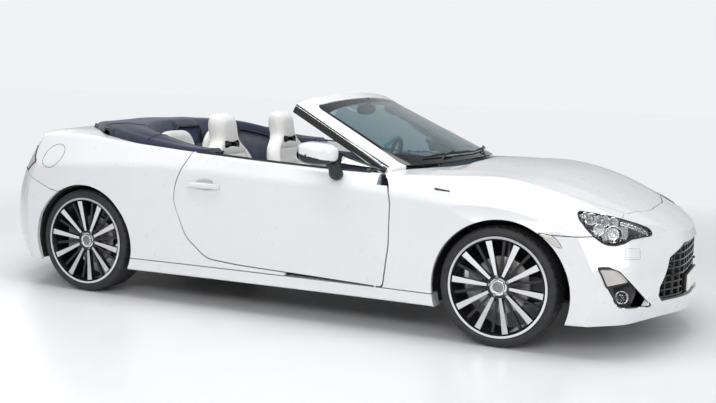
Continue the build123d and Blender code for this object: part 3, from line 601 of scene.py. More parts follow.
def pad(name, rows, shape, body, finish, cap=0.008, sew=None, cut=None):
    """A stuffed pad: lofted form, blown up, then sewn down along its seams."""
    points, faces = ring_form(rows, 28, shape)
    obj = mesh_piece(name, points, faces, body, finish)
    modify(obj, "SUBSURF", levels=2)
    modify(obj, "REMESH", mode="VOXEL", voxel_size=VOXEL, use_smooth_shade=True)
    applied(obj)
    puffed(obj, cap)
    if sew:
        mesh = obj.data
        normals = [v.normal.copy() for v in mesh.vertices]
        for v, n in zip(mesh.vertices, normals):
            v.co = v.co - n * sew(v.co, n)
    if cut:
        modify(obj, "BOOLEAN", operation="DIFFERENCE", object=cut, solver="EXACT")
        applied(obj)
    modify(obj, "CORRECTIVE_SMOOTH", iterations=2, factor=0.4)
    applied(obj)
    obj.data.materials.clear()
    obj.data.materials.append(MAT[finish])
    shaded(obj.data)
    return obj or obj


def groove(distance, width, depth):
    """How far a seam pulls in at this distance from its line."""
    t = abs(distance) / width
    return depth * (1 - t * t) ** 2 if t < 1 else 0.0


# Backrest rows: height, front x, back x, half width, how far the middle sits behind the bolsters
BACK_ROWS = [
    (0.335, -0.395, -0.510, 0.200, 0.010), (0.350, -0.392, -0.526, 0.240, 0.022),
    (0.450, -0.425, -0.556, 0.256, 0.045), (0.580, -0.468, -0.590, 0.258, 0.058),
    (0.700, -0.508, -0.621, 0.255, 0.055), (0.800, -0.540, -0.648, 0.250, 0.040),
    (0.860, -0.560, -0.664, 0.212, 0.020), (0.900, -0.572, -0.676, 0.150, 0.008),
    (0.935, -0.581, -0.688, 0.118, 0.000), (0.980, -0.587, -0.700, 0.114, 0.000),
    (1.030, -0.593, -0.706, 0.112, 0.000), (1.065, -0.600, -0.702, 0.102, 0.000),
    (1.086, -0.612, -0.692, 0.080, 0.000), (1.094, -0.628, -0.678, 0.045, 0.000),
]
# Cushion rows: x, underside, top, half width, how far the middle sits below the bolsters
BASE_ROWS = [
    (-0.425, 0.285, 0.345, 0.185, 0.000), (-0.405, 0.268, 0.372, 0.225, 0.015),
    (-0.310, 0.265, 0.384, 0.248, 0.030), (-0.180, 0.265, 0.396, 0.252, 0.036),
    (-0.040, 0.265, 0.408, 0.252, 0.034), (0.060, 0.265, 0.418, 0.250, 0.026),
    (0.110, 0.267, 0.420, 0.248, 0.014), (0.142, 0.275, 0.405, 0.240, 0.004),
    (0.154, 0.290, 0.375, 0.220, 0.000),
]


PAD_SQUARENESS, BOLSTER = 0.6, (0.50, 0.78)


def power(v, p):
    """Power that keeps the sign; below 1 it squares a round section."""
    return (abs(v) ** p) * (1 if v >= 0 else -1)


def pad_section(far, near, half, dip, a):
    """Across the pad and through it; the near face dips between its bolsters."""
    across = power(cos(a), PAD_SQUARENESS)
    through = (near + far) / 2 + (near - far) / 2 * power(sin(a), PAD_SQUARENESS)
    if sin(a) > 0:
        through -= dip * (1 - smooth_step(*BOLSTER, abs(across)))
    return half * across, through


def back_shape(row, a):
    z, front, back, half, dip = row
    y, x = pad_section(back, front, half, dip, a)
    return (x, y, z)


def base_shape(row, a):
    x, low, high, half, dip = row
    y, z = pad_section(low, high, half, dip, a)
    return (x, y, z)


def back_half_width(z):
    """Half width of the front seat's backrest at a height."""
    for (z0, _, _, w0, _), (z1, _, _, w1, _) in zip(BACK_ROWS, BACK_ROWS[1:]):
        if z0 <= z <= z1:
            return w0 + (w1 - w0) * (z - z0) / (z1 - z0)
    return 0.2


SEAM_WIDTH, CHANNEL_WIDTH, FACING = 0.010, 0.011, 0.2
BACK_SEAM_AT, BASE_SEAM_Y, REAR_SEAM_Y = 0.62, 0.155, 0.150


def seam_depth(y, edge, seam, at, channels, channel):
    """Depth of the bolster seam at edge and of the channels sewn across between the bolsters."""
    depth = groove(abs(y) - edge, SEAM_WIDTH, seam) if seam else 0.0
    if abs(y) < edge:
        depth = max([depth] + [groove(at - line, CHANNEL_WIDTH, channel) for line in channels])
    return depth


def back_seams(p, n):
    """Bolster seams, three channels across the middle and a seam under the headrest."""
    if n.x < FACING:
        return groove(abs(p.y) - 0.9 * back_half_width(p.z), 0.008, 0.003) if p.z < 0.9 else 0.0
    edge = BACK_SEAM_AT * back_half_width(p.z)
    return seam_depth(p.y, edge, 0.006 if p.z < 0.86 else 0.0, p.z, (0.50, 0.62, 0.74, 0.845), 0.005)


def base_seams(p, n):
    if n.z < FACING:
        return 0.0
    return seam_depth(p.y, BASE_SEAM_Y, 0.006 if p.x > -0.38 else 0.0, p.x, (-0.25, -0.11, 0.03), 0.005)


# Slot through the backrest under the headrest: y, z
SLOT = [(-0.092, 0.912), (-0.084, 0.880), (0.0, 0.893), (0.084, 0.880), (0.092, 0.912),
        (0.074, 0.930), (0.0, 0.915), (-0.074, 0.930)]


def rounded_outline(points, reach=0.35, steps=4):
    """Outline with each corner cut by a parabola."""
    made, n = [], len(points)
    for i in range(n):
        a, b, c = (Vector(points[j % n]) for j in (i - 1, i, i + 1))
        p, q = b.lerp(a, reach), b.lerp(c, reach)
        for k in range(steps + 1):
            t = k / steps
            made.append(p * (1 - t) ** 2 + b * (2 * t * (1 - t)) + q * t * t)
    return made


def band(name, outline, near, far, grow, body, finish, place):
    """Thin-walled sleeve along an outline, from near to far."""
    n = len(outline)
    mid = sum(outline, Vector((0, 0))) / n
    outer = [p + (p - mid).normalized() * grow for p in outline]
    points = [place(p, d) for d in (near, far) for ring in (outline, outer) for p in ring]
    return mesh_piece(name, points, frame_faces(n), body, finish)


def slot_cutter():
    """Prism that cuts the slot through the backrest."""
    outline = rounded_outline(SLOT, 0.3)
    points = [(x, p[0], p[1]) for x in (-0.80, -0.45) for p in outline]
    mesh = bpy.data.meshes.new("slot_cutter")
    mesh.from_pydata(points, [], loft_faces(2, len(outline)))
    return linked("slot_cutter", mesh)


def moved_copy(obj, name, y, body):
    """The same mesh shifted across the car."""
    mesh = obj.data.copy()
    mesh.transform(Matrix.Translation((0, y, 0)))
    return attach(linked(name, mesh), body)


def seam_threads(name, tree, lines, direction, y, body):
    """Stitching laid on a pad; each line is cast onto it along a direction."""
    for i, line in enumerate(lines):
        path = [p + Vector((0, y, 0)) for p in cast_path(tree, line, direction, 0.0004)]
        if len(path) > 2:
            cord_line(f"{name}_{i}", path, 0.0011, body, "thread")


def front_seats():
    """One backrest and one cushion, made once and set in both places with their stitching."""
    cutter = slot_cutter()
    back = pad("seat_back", BACK_ROWS, back_shape, BODY, "white_leather", 0.007, back_seams, cutter)
    base = pad("seat_base", BASE_ROWS, base_shape, BODY, "white_leather", 0.007, base_seams)
    bpy.data.objects.remove(cutter)
    back_tree, base_tree = [surface_of(back)], [surface_of(base)]
    heights, places = [0.38 + 0.03 * k for k in range(16)], [-0.36 + 0.03 * k for k in range(17)]
    back_lines = [[(0.3, s * (BACK_SEAM_AT * back_half_width(z) + 0.010), z) for z in heights] for s in (1, -1)]
    base_lines = [[(x, s * 0.166, 1.0) for x in places] for s in (1, -1)]
    for tag, side in SIDES:
        y = side * DRIVER_Y
        pieces = [moved_copy(back, f"seat_back_{tag}", y, BODY), moved_copy(base, f"seat_base_{tag}", y, BODY)]
        for piece in pieces:
            piece or piece
        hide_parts(f"seat_{tag}")
        seam_threads(f"back_stitch_{tag}", back_tree, back_lines, (-1, 0, 0), y, BODY)
        seam_threads(f"base_stitch_{tag}", base_tree, base_lines, (0, 0, -1), y, BODY)
        outline = rounded_outline(SLOT, 0.3)
        band(f"slot_trim_{tag}", outline, -0.578, -0.680, -0.003, BODY, "gloss",
             lambda p, d: (d - 0.25 * (p[1] - 0.9), p[0] + y, p[1]))
        seat_shell(tag, y)
    for spare in (back, base):
        bpy.data.objects.remove(spare)


def seat_shell(tag, y):
    """Grey side trims at the seat's foot."""
    side = 1 if y > 0 else -1
    for s in (1, -1):
        outline = rounded_outline([(-0.47, 0.275), (-0.30, 0.268), (0.06, 0.272), (0.10, 0.30),
                                   (-0.26, 0.330), (-0.38, 0.400), (-0.45, 0.390)])
        near = y + s * 0.254
        band_plate(f"seat_trim_{tag}_{'in' if s != side else 'out'}", outline, near, near + s * 0.008,
                   BODY, "grey")


def band_plate(name, outline, y0, y1, body, finish):
    """Side-view outline (x, z) with thickness across the car."""
    n = len(outline)
    points = [(p[0], y, p[1]) for y in (y0, y1) for p in outline]
    faces = [(k, (k + 1) % n, n + (k + 1) % n, n + k) for k in range(n)]
    faces += [tuple(range(n)), tuple(reversed(range(n, 2 * n)))]
    obj = mesh_piece(name, points, faces, body, finish, False)
    return modify(obj, "BEVEL", width=0.0025, segments=2, limit_method="ANGLE")


# Rear seat rows, about each seat's own middle
REAR_BACK_ROWS = [
    (0.440, -0.990, -1.070, 0.215, 0.000), (0.455, -0.985, -1.080, 0.236, 0.008),
    (0.560, -1.000, -1.082, 0.240, 0.020), (0.700, -1.016, -1.082, 0.240, 0.022),
    (0.800, -1.028, -1.083, 0.238, 0.016), (0.870, -1.034, -1.082, 0.220, 0.010),
    (0.920, -1.040, -1.080, 0.186, 0.004), (0.950, -1.046, -1.076, 0.146, 0.000),
    (0.966, -1.052, -1.070, 0.095, 0.000),
]
REAR_BASE_ROWS = [
    (-1.035, 0.260, 0.400, 0.200, 0.000), (-1.020, 0.250, 0.420, 0.232, 0.010),
    (-0.920, 0.245, 0.428, 0.238, 0.022), (-0.820, 0.245, 0.440, 0.238, 0.022),
    (-0.755, 0.245, 0.446, 0.238, 0.010), (-0.718, 0.250, 0.432, 0.232, 0.002),
    (-0.704, 0.270, 0.400, 0.210, 0.000),
]
REAR_SPINE_ROWS = [
    (0.33, -0.700, -0.96, 0.022, 0), (0.345, -0.700, -1.04, 0.026, 0), (0.425, -0.712, -1.07, 0.026, 0),
    (0.440, -0.98, -1.085, 0.026, 0), (0.70, -1.020, -1.085, 0.026, 0), (0.850, -1.038, -1.083, 0.024, 0),
    (0.865, -1.045, -1.078, 0.018, 0),
]
REAR_SEAT_Y = 0.270


def rear_seams(p, n):
    if n.x < FACING:
        return 0.0
    return seam_depth(p.y, REAR_SEAM_Y, 0.005 if p.z < 0.84 else 0.0, p.z, (0.58, 0.70, 0.82), 0.004)


def rear_base_seams(p, n):
    if n.z < FACING:
        return 0.0
    return seam_depth(p.y, REAR_SEAM_Y, 0.005, p.x, (-0.93, -0.83), 0.004)


def rear_seats():
    """Two moulded places and the spine between them."""
    back = pad("rear_back", REAR_BACK_ROWS, back_shape, BODY, "white_leather", 0.005, rear_seams)
    base = pad("rear_base", REAR_BASE_ROWS, base_shape, BODY, "white_leather", 0.005, rear_base_seams)
    for tag, side in SIDES:
        for spare, kind in ((back, "back"), (base, "base")):
            piece = moved_copy(spare, f"rear_{kind}_{tag}", side * REAR_SEAT_Y, BODY)
            piece or piece
            if kind == "back" and side > 0:
                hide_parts("rear_seat")
    for spare in (back, base):
        bpy.data.objects.remove(spare)
    points, faces = ring_form(REAR_SPINE_ROWS, 16, back_shape)
    middle = mesh_piece("rear_seat_spine", points, faces, BODY, "navy_leather")
    subdivided(middle)


# Soft cover, plan outlines from the near front end round the back to the far one
COVER_EDGE = [(-0.490, 0.762), (-0.640, 0.766), (-0.860, 0.757), (-1.020, 0.742), (-1.180, 0.694),
              (-1.328, 0.622), (-1.480, 0.512), (-1.620, 0.352), (-1.700, 0.190), (-1.722, 0.0)]
COVER_INNER = [(-0.490, 0.604), (-0.640, 0.598), (-0.800, 0.594), (-0.940, 0.583), (-1.010, 0.550),
               (-1.070, 0.500), (-1.105, 0.420), (-1.125, 0.320), (-1.138, 0.180), (-1.142, 0.0)]
COVER_STEPS, COVER_ROWS = 12, 18


def whole_outline(half):
    """Points of one side, then the other, as a smooth path."""
    knots = [Vector((x, -y, 0)) for x, y in half] + [Vector((x, y, 0)) for x, y in reversed(half[:-1])]
    path = []
    for i in range(len(knots) - 1):
        p0, p1, p2, p3 = (knots[max(0, min(len(knots) - 1, i + k))] for k in (-1, 0, 1, 2))
        for k in range(COVER_STEPS):
            t = k / COVER_STEPS
            path.append(0.5 * ((2 * p1) + (p2 - p0) * t + (2 * p0 - 5 * p1 + 4 * p2 - p3) * t * t
                               + (3 * p1 - p0 - 3 * p2 + p3) * t ** 3))
    return path + [knots[-1]]


def cover_fold(u, v, p):
    """Slack between the fixed edges: long soft folds that follow the rim."""
    slack = sin(pi * v)
    drift = noise.noise(Vector((u * 9, v * 2.2, 3.1)))
    ridge = sin(v * 15 + drift * 3.5) * 0.0022
    sag = noise.noise(Vector((p.x * 5, p.y * 5, 1.7))) * 0.006
    return slack * (ridge + sag)


def soft_cover():
    """One sheet of canvas over the stowed roof, rolled under at both edges; gives its area."""
    tree = trees("soft_top_cover")
    edge, inner = whole_outline(COVER_EDGE), whole_outline(COVER_INNER)
    n, points = len(edge), []
    for i in range(n):
        u = i / (n - 1)
        for j in range(COVER_ROWS + 1):
            v = j / COVER_ROWS
            p = edge[i].lerp(inner[i], v)
            hit = cast(tree, (p.x, p.y, 1.4), (0, 0, -1))
            z = hit[0].z if hit else 0.895
            roll = 0.020 * (1 - min(1.0, v / 0.10)) ** 2 + 0.050 * (1 - min(1.0, (1 - v) / 0.10)) ** 2
            end = 0.014 * (1 - min(1.0, min(u, 1 - u) / 0.012)) ** 2
            points.append(Vector((p.x, p.y, max(0.872, z - 0.004 - roll - end + cover_fold(u, v, p)))))
    m = COVER_ROWS + 1
    cover = mesh_piece("canvas_cover", points, sheet_faces(n, m), BODY, "canvas")
    area = sum(face.area for face in cover.data.polygons)
    modify(cover, "SUBSURF", levels=1, render_levels=1)
    modify(cover, "SOLIDIFY", thickness=0.003, offset=-1.0)
    applied(cover)
    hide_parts("soft_top_cover")
    for name, column in (("rim", 0), ("mouth", COVER_ROWS)):
        path = [points[i * m + column] + Vector((0, 0, 0.004)) for i in range(0, n, 4)]
        cord_line(f"cover_piping_{name}", path, 0.0055, BODY, "seal")
    cabin_wall([points[i * m + COVER_ROWS] for i in range(n)])
    for k, i in enumerate((30, 62, n - 63, n - 31)):
        path = [points[i * m + j] + Vector((0, 0, 0.0022)) for j in range(1, COVER_ROWS, 2)]
        cord_line(f"cover_seam_{k}", path, 0.0022, BODY, "webbing")
    return area


def cabin_wall(mouth):
    """Lined panel round the rear cabin, down from the cover's inner edge."""
    points = []
    for p in mouth:
        drop = 0.020 + 0.400 * smooth_step(0.74, 0.84, -p.x)
        out = Vector((min(0.0, p.x + 0.90), p.y, 0)).normalized() * 0.006
        points += [p + out + Vector((0, 0, -drop * t)) for t in (0.0, 0.5, 1.0)]
    wall = mesh_piece("rear_cabin_wall", points, sheet_faces(len(mouth), 3), BODY, "navy_leather")
    modify(wall, "SOLIDIFY", thickness=0.004, offset=0.0)


# ---- lamps -----------------------------------------------------------------------
# Where a lamp on the right stands and which way it faces; outlines are in its own plane
HEADLAMP_AT, HEADLAMP_DIR = (1.800, -0.650, 0.640), (0.1781, -0.9744, 0.1375)
FOG_AT, FOG_DIR = (1.870, -0.700, 0.350), (0.1656, -0.9678, 0.1897)
FOG_LENS = [(-0.121, 0.076), (-0.067, 0.081), (-0.030, 0.070), (0.018, 0.027), (-0.030, 0.012),
            (-0.066, 0.002), (-0.084, -0.004), (-0.102, 0.040)]
FOG_OUTLINE = [(-0.129, 0.082), (-0.067, 0.087), (-0.028, 0.075), (0.022, 0.030), (0.132, -0.078),
               (0.114, -0.088), (-0.008, -0.102), (-0.032, -0.091), (-0.079, -0.017), (-0.107, 0.039)]
LED_ROW = [(0.030 + 0.0165 * k, 0.012 - 0.0032 * k - 0.0003 * k * k) for k in range(8)]


def plane_at(at, direction, side):
    """Places (across, up, outward) of a tilted plane on the right or, mirrored, the left."""
    out = Vector(direction).normalized()
    across = Vector((0, 0, 1)).cross(out).normalized()
    up = out.cross(across)

    def place(u, v, d):
        p = Vector(at) + across * u + up * v + out * d
        return Vector((p.x, -side * p.y, p.z))
    return place


def facing(direction, side):
    """A right-hand direction on the right or, mirrored, the left."""
    out = Vector(direction).normalized()
    return Vector((out.x, -side * out.y, out.z))


def skin_faces(node, side, keep):
    """BMesh of a node's faces on one side of the car whose normals pass a test."""
    bm = bmesh.new()
    bm.from_mesh(NODES[node].data)
    bmesh.ops.remove_doubles(bm, verts=bm.verts, dist=1e-5)
    bm.normal_update()
    gone = [f for f in bm.faces if f.calc_center_median().y * side < 0 or not keep(f.normal)]
    bmesh.ops.delete(bm, geom=gone, context="FACES")
    return bm


RIM_KNOT_GAP, RIM_CLOSES = 0.012, 0.02


def rim_line(name, bm, radius, body, finish, lift=0.0):
    """Tube along the longest open edge of a patch of faces."""
    left = {e: True for e in bm.edges if e.is_boundary}
    best = []
    while left:
        edge = next(iter(left))
        del left[edge]
        path, end = [edge.verts[0], edge.verts[1]], edge.verts[1]
        while True:
            following = next((e for e in end.link_edges if e in left), None)
            if following is None:
                break
            del left[following]
            end = following.other_vert(end)
            path.append(end)
        if len(path) > len(best):
            best = path
    spots = [best[0].co + best[0].normal * lift]
    for v in best[1:]:
        p = v.co + v.normal * lift
        if (p - spots[-1]).length > RIM_KNOT_GAP:
            spots.append(p)
    closed = best[0] == best[-1] or (best[0].co - best[-1].co).length < RIM_CLOSES
    return cord_line(name, spots, radius, body, finish, closed)


POLE_R, LENS_FACING = 0.0005, 0.12


def turned_on(name, place, at, profile, body, finish):
    """Profile (radius, depth) turned about a line square to the lamp's plane."""
    u0, v0, d0 = at
    turned(name, profile, 32, lambda u, v, d: place(u0 + u, v0 + v, d0 + d), body, finish)


def bowl(name, place, at, r, deep):
    """Bright reflector."""
    turned_on(name, place, at, [
        (r, 0), (r * 0.92, -deep * 0.25), (r * 0.72, -deep * 0.62), (r * 0.40, -deep * 0.9), (POLE_R, -deep),
        (POLE_R, -deep - 0.002), (r * 0.42, -deep * 0.92 - 0.002), (r * 0.74, -deep * 0.64 - 0.002),
        (r * 0.96, -deep * 0.25), (r + 0.003, 0)], BODY, "chrome")


def ball(name, place, at, r, bulge, finish):
    """Domed lens or bulb."""
    turned_on(name, place, at, [
        (POLE_R, bulge), (r * 0.38, bulge * 0.93), (r * 0.70, bulge * 0.70), (r * 0.92, bulge * 0.36),
        (r, 0), (r * 0.98, -0.004), (POLE_R, -0.004)], BODY, finish)


def headlamps():
    """Clear cover from the node's outer skin, black bowl from its inner skin, and the lights between."""
    for tag, side in SIDES:
        out = facing(HEADLAMP_DIR, side)
        place = plane_at(HEADLAMP_AT, HEADLAMP_DIR, side)
        shell = skin_faces("headlamps", side, lambda n: n.dot(out) > LENS_FACING)
        rim_line(f"lamp_seal_{tag}", shell, 0.0042, BODY, "seal", -0.001)
        lens = bmesh_piece(f"lamp_lens_{tag}", shell, BODY, "lens")
        modify(lens, "SOLIDIFY", thickness=0.0025, offset=-1.0)
        if side > 0:
            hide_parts("headlamps")
        tree = [surface_of(lens)]

        def behind(u, v, gap):
            hit = cast(tree, place(u, v, 0.30), -out)
            return ((hit[0] - place(u, v, 0.0)).dot(out) if hit else 0.0) - gap

        back = skin_faces("headlamps", side, lambda n: n.dot(out) <= LENS_FACING)
        bmesh.ops.reverse_faces(back, faces=back.faces)
        finished(f"lamp_bowl_{tag}", mesh_of(f"lamp_bowl_{tag}", back), BODY, "gloss")
        lamp_inside(tag, place, behind)


def lamp_inside(tag, place, behind):
    """Reflectors at the rear and top, the projector low in the middle and a row of small lights."""
    for k, (u, v, r, gap) in enumerate(((-0.118, 0.026, 0.027, 0.012), (-0.066, 0.022, 0.031, 0.016),
                                        (-0.150, 0.042, 0.015, 0.008), (-0.078, -0.022, 0.024, 0.016),
                                        (-0.014, 0.016, 0.024, 0.014))):
        at = (u, v, behind(u, v, gap))
        bowl(f"lamp_reflector_{tag}_{k}", place, at, r, r * 0.8)
        ball(f"lamp_bulb_{tag}_{k}", place, (u, v, at[2] - r * 0.5), r * 0.28, r * 0.3, "plate")
    at = (-0.008, -0.042, behind(-0.008, -0.042, 0.020))
    bowl(f"lamp_projector_ring_{tag}", place, at, 0.040, 0.024)
    turned_on(f"lamp_projector_hood_{tag}", place, at, [
        (0.036, 0.002), (0.034, 0.004), (0.029, 0.004), (0.028, -0.014), (0.033, -0.016)], BODY, "gloss")
    ball(f"lamp_projector_{tag}", place, (at[0], at[1], at[2] - 0.010), 0.027, 0.018, "lens")
    for k, (u, v) in enumerate(LED_ROW):
        at = (u, v, behind(u, v, 0.012))
        bowl(f"lamp_led_cup_{tag}_{k}", place, at, 0.0072, 0.008)
        ball(f"lamp_led_{tag}_{k}", place, (u, v, at[2] - 0.005), 0.0032, 0.003, "plate")
    shelf = [(u, v + 0.011) for u, v in LED_ROW] + [(u, v - 0.010) for u, v in reversed(LED_ROW)]
    points = [place(u, v, behind(u, v, 0.021)) for u, v in shelf]
    obj = mesh_piece(f"lamp_led_shelf_{tag}", points, [tuple(range(len(points)))], BODY, "cast", False)
    modify(obj, "SOLIDIFY", thickness=0.002)


def surface_patch(name, outline, place, out, tree, lift, thick, body, finish, step=0.006, round_by=0.2):
    """Plate that lies on the panels under a flat outline; place maps it and out points away."""
    outline = rounded_outline(outline, round_by, 3) if round_by else [Vector(p) for p in outline]
    bm = bmesh.new()
    bm.faces.new([bm.verts.new((p[0], p[1], 0)) for p in outline])
    low = [min(p[i] for p in outline) for i in (0, 1)]
    high = [max(p[i] for p in outline) for i in (0, 1)]
    for i in (0, 1):
        for k in range(1, int((high[i] - low[i]) / step)):
            at, normal = [0, 0, 0], [0, 0, 0]
            at[i], normal[i] = low[i] + k * step, 1
            everything = bm.verts[:] + bm.edges[:] + bm.faces[:]
            bmesh.ops.bisect_plane(bm, geom=everything, plane_co=at, plane_no=normal)
    for v in bm.verts:
        spot = place(v.co.x, v.co.y, 0.25)
        hit = cast(tree, spot, [-c for c in out])
        v.co = (hit[0] if hit else place(v.co.x, v.co.y, 0)) + Vector(out) * lift
    bm.normal_update()
    if bm.faces and sum((f.normal for f in bm.faces), Vector()).dot(Vector(out)) < 0:
        bmesh.ops.reverse_faces(bm, faces=bm.faces)
    modify(finished(name, shaded(mesh_of(name, bm)), body, finish), "SOLIDIFY", thickness=thick, offset=0.0)


def fog_lamps():
    """Indicator lens, black surround and round fog lamp low in the bumper."""
    tree = trees("fog_lamps", "front_bumper")
    for tag, side in SIDES:
        out, place = facing(FOG_DIR, side), plane_at(FOG_AT, FOG_DIR, side)
        surface_patch(f"indicator_{tag}", FOG_LENS, place, out, tree, 0.002, 0.003, BODY, "indicator")
        ring = [place(u, v, 0.25) for u, v in rounded_outline(FOG_OUTLINE, 0.15, 2)]
        cord_line(f"fog_seal_{tag}", cast_path(tree, ring, -out), 0.0045, BODY, "gloss", True)
        at = (-0.012, -0.052, -0.030)
        bowl(f"fog_reflector_{tag}", place, at, 0.030, 0.018)
        ball(f"fog_glass_{tag}", place, at, 0.028, 0.008, "lens")


def tail_lamps():
    """Seal round each tail lamp's outer skin."""
    for tag, side in SIDES:
        shell = skin_faces("tail_lamps", side, lambda n: n.dot(Vector((-0.8, 0.6 * side, 0.1))) > 0.35)
        rim_line(f"tail_seal_{tag}", shell, 0.0045, BODY, "seal")
        shell.free()


# ---- mirrors, seals and outside trim -----------------------------------------------
MIRROR_ROWS = [
    # y, rear x, front x, low z, high z
    (0.866, 0.245, 0.335, 0.900, 0.958), (0.874, 0.222, 0.372, 0.884, 0.976),
    (0.900, 0.208, 0.398, 0.876, 0.988), (0.940, 0.205, 0.402, 0.873, 0.991),
    (0.985, 0.206, 0.392, 0.874, 0.990), (1.015, 0.212, 0.362, 0.880, 0.984),
    (1.032, 0.226, 0.322, 0.893, 0.970), (1.038, 0.246, 0.296, 0.910, 0.954),
]
MIRROR_FOOT_ROWS = [
    # centre x y z, half length, half height
    (0.352, 0.905, 0.886, 0.034, 0.014), (0.358, 0.890, 0.868, 0.032, 0.022),
    (0.362, 0.876, 0.846, 0.036, 0.030), (0.360, 0.862, 0.828, 0.042, 0.034),
    (0.358, 0.846, 0.816, 0.043, 0.032), (0.358, 0.832, 0.812, 0.034, 0.020),
]
MIRROR_GLASS = [(0.885, 0.893), (0.885, 0.972), (0.950, 0.984), (1.014, 0.975), (1.022, 0.905), (0.960, 0.884)]


def mirrors():
    """Painted head with a black underside, glass and foot on each door."""
    for tag, side in SIDES:
        body = f"door_{tag}_body"

        def shape(row, a):
            y, x0, x1, z0, z1 = row
            u, v = power(cos(a), 0.62), power(sin(a), 0.72)
            x = (x0 + x1) / 2 + (x1 - x0) / 2 * u
            z = (z0 + z1) / 2 + (z1 - z0) / 2 * v
            return (x, side * y, z - 0.010 * (x - 0.30) / 0.1 * (v > 0) * v)

        points, faces = ring_form(MIRROR_ROWS, 24, shape)
        head = mesh_piece(f"mirror_head_{tag}", points, faces, body, "paint")
        head.data.materials.append(MAT["black"])
        applied(subdivided(head))
        lower = [p.center.z < 0.917 - 0.22 * (p.center.x - 0.30) for p in head.data.polygons]
        head.data.polygons.foreach_set("material_index", [int(black) for black in lower])
        shaded(head.data)
        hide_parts(f"mirror_{tag}")
        outline = rounded_outline(MIRROR_GLASS, 0.25, 4)
        points = [(x, side * p[0], p[1]) for x in (0.2035, 0.2085) for p in outline]
        mesh_piece(f"mirror_glass_{tag}", points, loft_faces(2, len(outline), True), body, "chrome", False)

        def foot(row, a):
            x, y, z, half, high = row
            return (x + half * cos(a), side * (y - high * 0.35 * sin(a)), z + high * sin(a))

        points, faces = ring_form(MIRROR_FOOT_ROWS, 20, foot)
        subdivided(mesh_piece(f"mirror_foot_{tag}", points, faces, body, "black"))


def strip(name, path, wide, high, body, finish):
    """Flat strip along a path: wide across the car, high upwards."""
    section = [(-0.5, 0.0), (-0.32, 1.0), (0.32, 1.0), (0.5, 0.0)]
    points = [Vector(p) + Vector((0, dy * wide, dz * high)) for p in path for dy, dz in section]
    obj = mesh_piece(name, points, loft_faces(len(path), len(section), True), body, finish, False)
    return modify(obj, "BEVEL", width=0.0015, segments=2, limit_method="ANGLE")


POST_FOOT, POST_HEAD = Vector((0.600, 0.708, 0.870)), Vector((0.014, 0.655, 1.179))
# Header lower edge from the corner to the middle: y, x, z
HEADER = [(0.655, 0.006, 1.171), (0.600, 0.034, 1.192), (0.380, 0.062, 1.222), (0.000, 0.078, 1.238)]
POST_STEPS = 12


def post_point(t, drop, lift, side, tree):
    """On the outer side face of a screen post: t from foot to head, drop below its front edge."""
    along = (POST_HEAD - POST_FOOT).normalized()
    p = POST_FOOT.lerp(POST_HEAD, t) + Vector((-along.z, 0, along.x)) * drop
    hit = cast(tree, (p.x, side * 1.1, p.z), (0, -side, 0))
    y = abs(hit[0].y) if hit and abs(abs(hit[0].y) - p.y) < 0.03 else p.y
    return Vector((p.x, side * (y + lift), p.z))


def screen_seals():
    """Black trim and seals down the screen's posts and under its header."""
    tree, steps = trees("windscreen_frame"), [t / POST_STEPS for t in range(POST_STEPS + 1)]
    for tag, side in SIDES:
        edges = [post_point(t, drop, 0.001, side, tree) for t in steps for drop in (0.007, 0.028, 0.050)]
        ribbon = mesh_piece(f"post_trim_{tag}", edges, sheet_faces(len(steps), 3), BODY, "seal", False)
        modify(ribbon, "SOLIDIFY", thickness=0.004, offset=0.0)
        seals = ((0.052, -0.008, 0.0080, "seal"), (0.054, -0.026, 0.0090, "seal"),
                 (0.016, 0.0035, 0.0020, "chrome"), (0.034, 0.0035, 0.0030, "gloss"))
        for k, (drop, lift, r, finish) in enumerate(seals):
            path = [post_point(t, drop, lift, side, tree) for t in steps]
            cord_line(f"post_seal_{k}_{tag}", path, r, BODY, finish)
    for k, (back, drop, r) in enumerate(((0.012, 0.040, 0.0085), (0.004, 0.028, 0.0060))):
        ribs = [(y, x - back, z - drop) for y, x, z in HEADER]
        path = [Vector((x, -y, z)) for y, x, z in ribs]
        path += [Vector((x, y, z)) for y, x, z in reversed(ribs[:-1])]
        cord_line(f"header_seal_{k}", path, r, BODY, "seal")


def belt_strips():
    """Rubber strip and glass slot along the top of each door."""
    for tag, side in SIDES:
        tree, starts = trees(f"door_{tag}"), [(-0.556 + 0.0362 * k, side * 0.7800, 1.2) for k in range(31)]
        hits = [cast(tree, start, (0, 0, -1)) for start in starts]
        path = [Vector((start[0], side * 0.7845, hit[0].z - 0.001)) for start, hit in zip(starts, hits) if hit]
        strip(f"belt_strip_{tag}", path, 0.017, 0.0075, f"door_{tag}_body", "seal")
        strip(f"glass_slot_{tag}", [p + Vector((0, -side * 0.004, 0.004)) for p in path], 0.006, 0.006,
              f"door_{tag}_body", "gloss")


# Quarter window outlines (x, z), and where the painted filler at the post's foot starts on the wing
QUARTER_OUTER = [(0.592, 0.842), (0.300, 0.860), (0.292, 0.925), (0.330, 0.912)]
QUARTER_INNER = [(0.520, 0.854), (0.322, 0.868), (0.318, 0.906), (0.340, 0.898)]
FOOT_X, FOOT_COLUMNS = 0.662, (0.612, 0.628, 0.648)


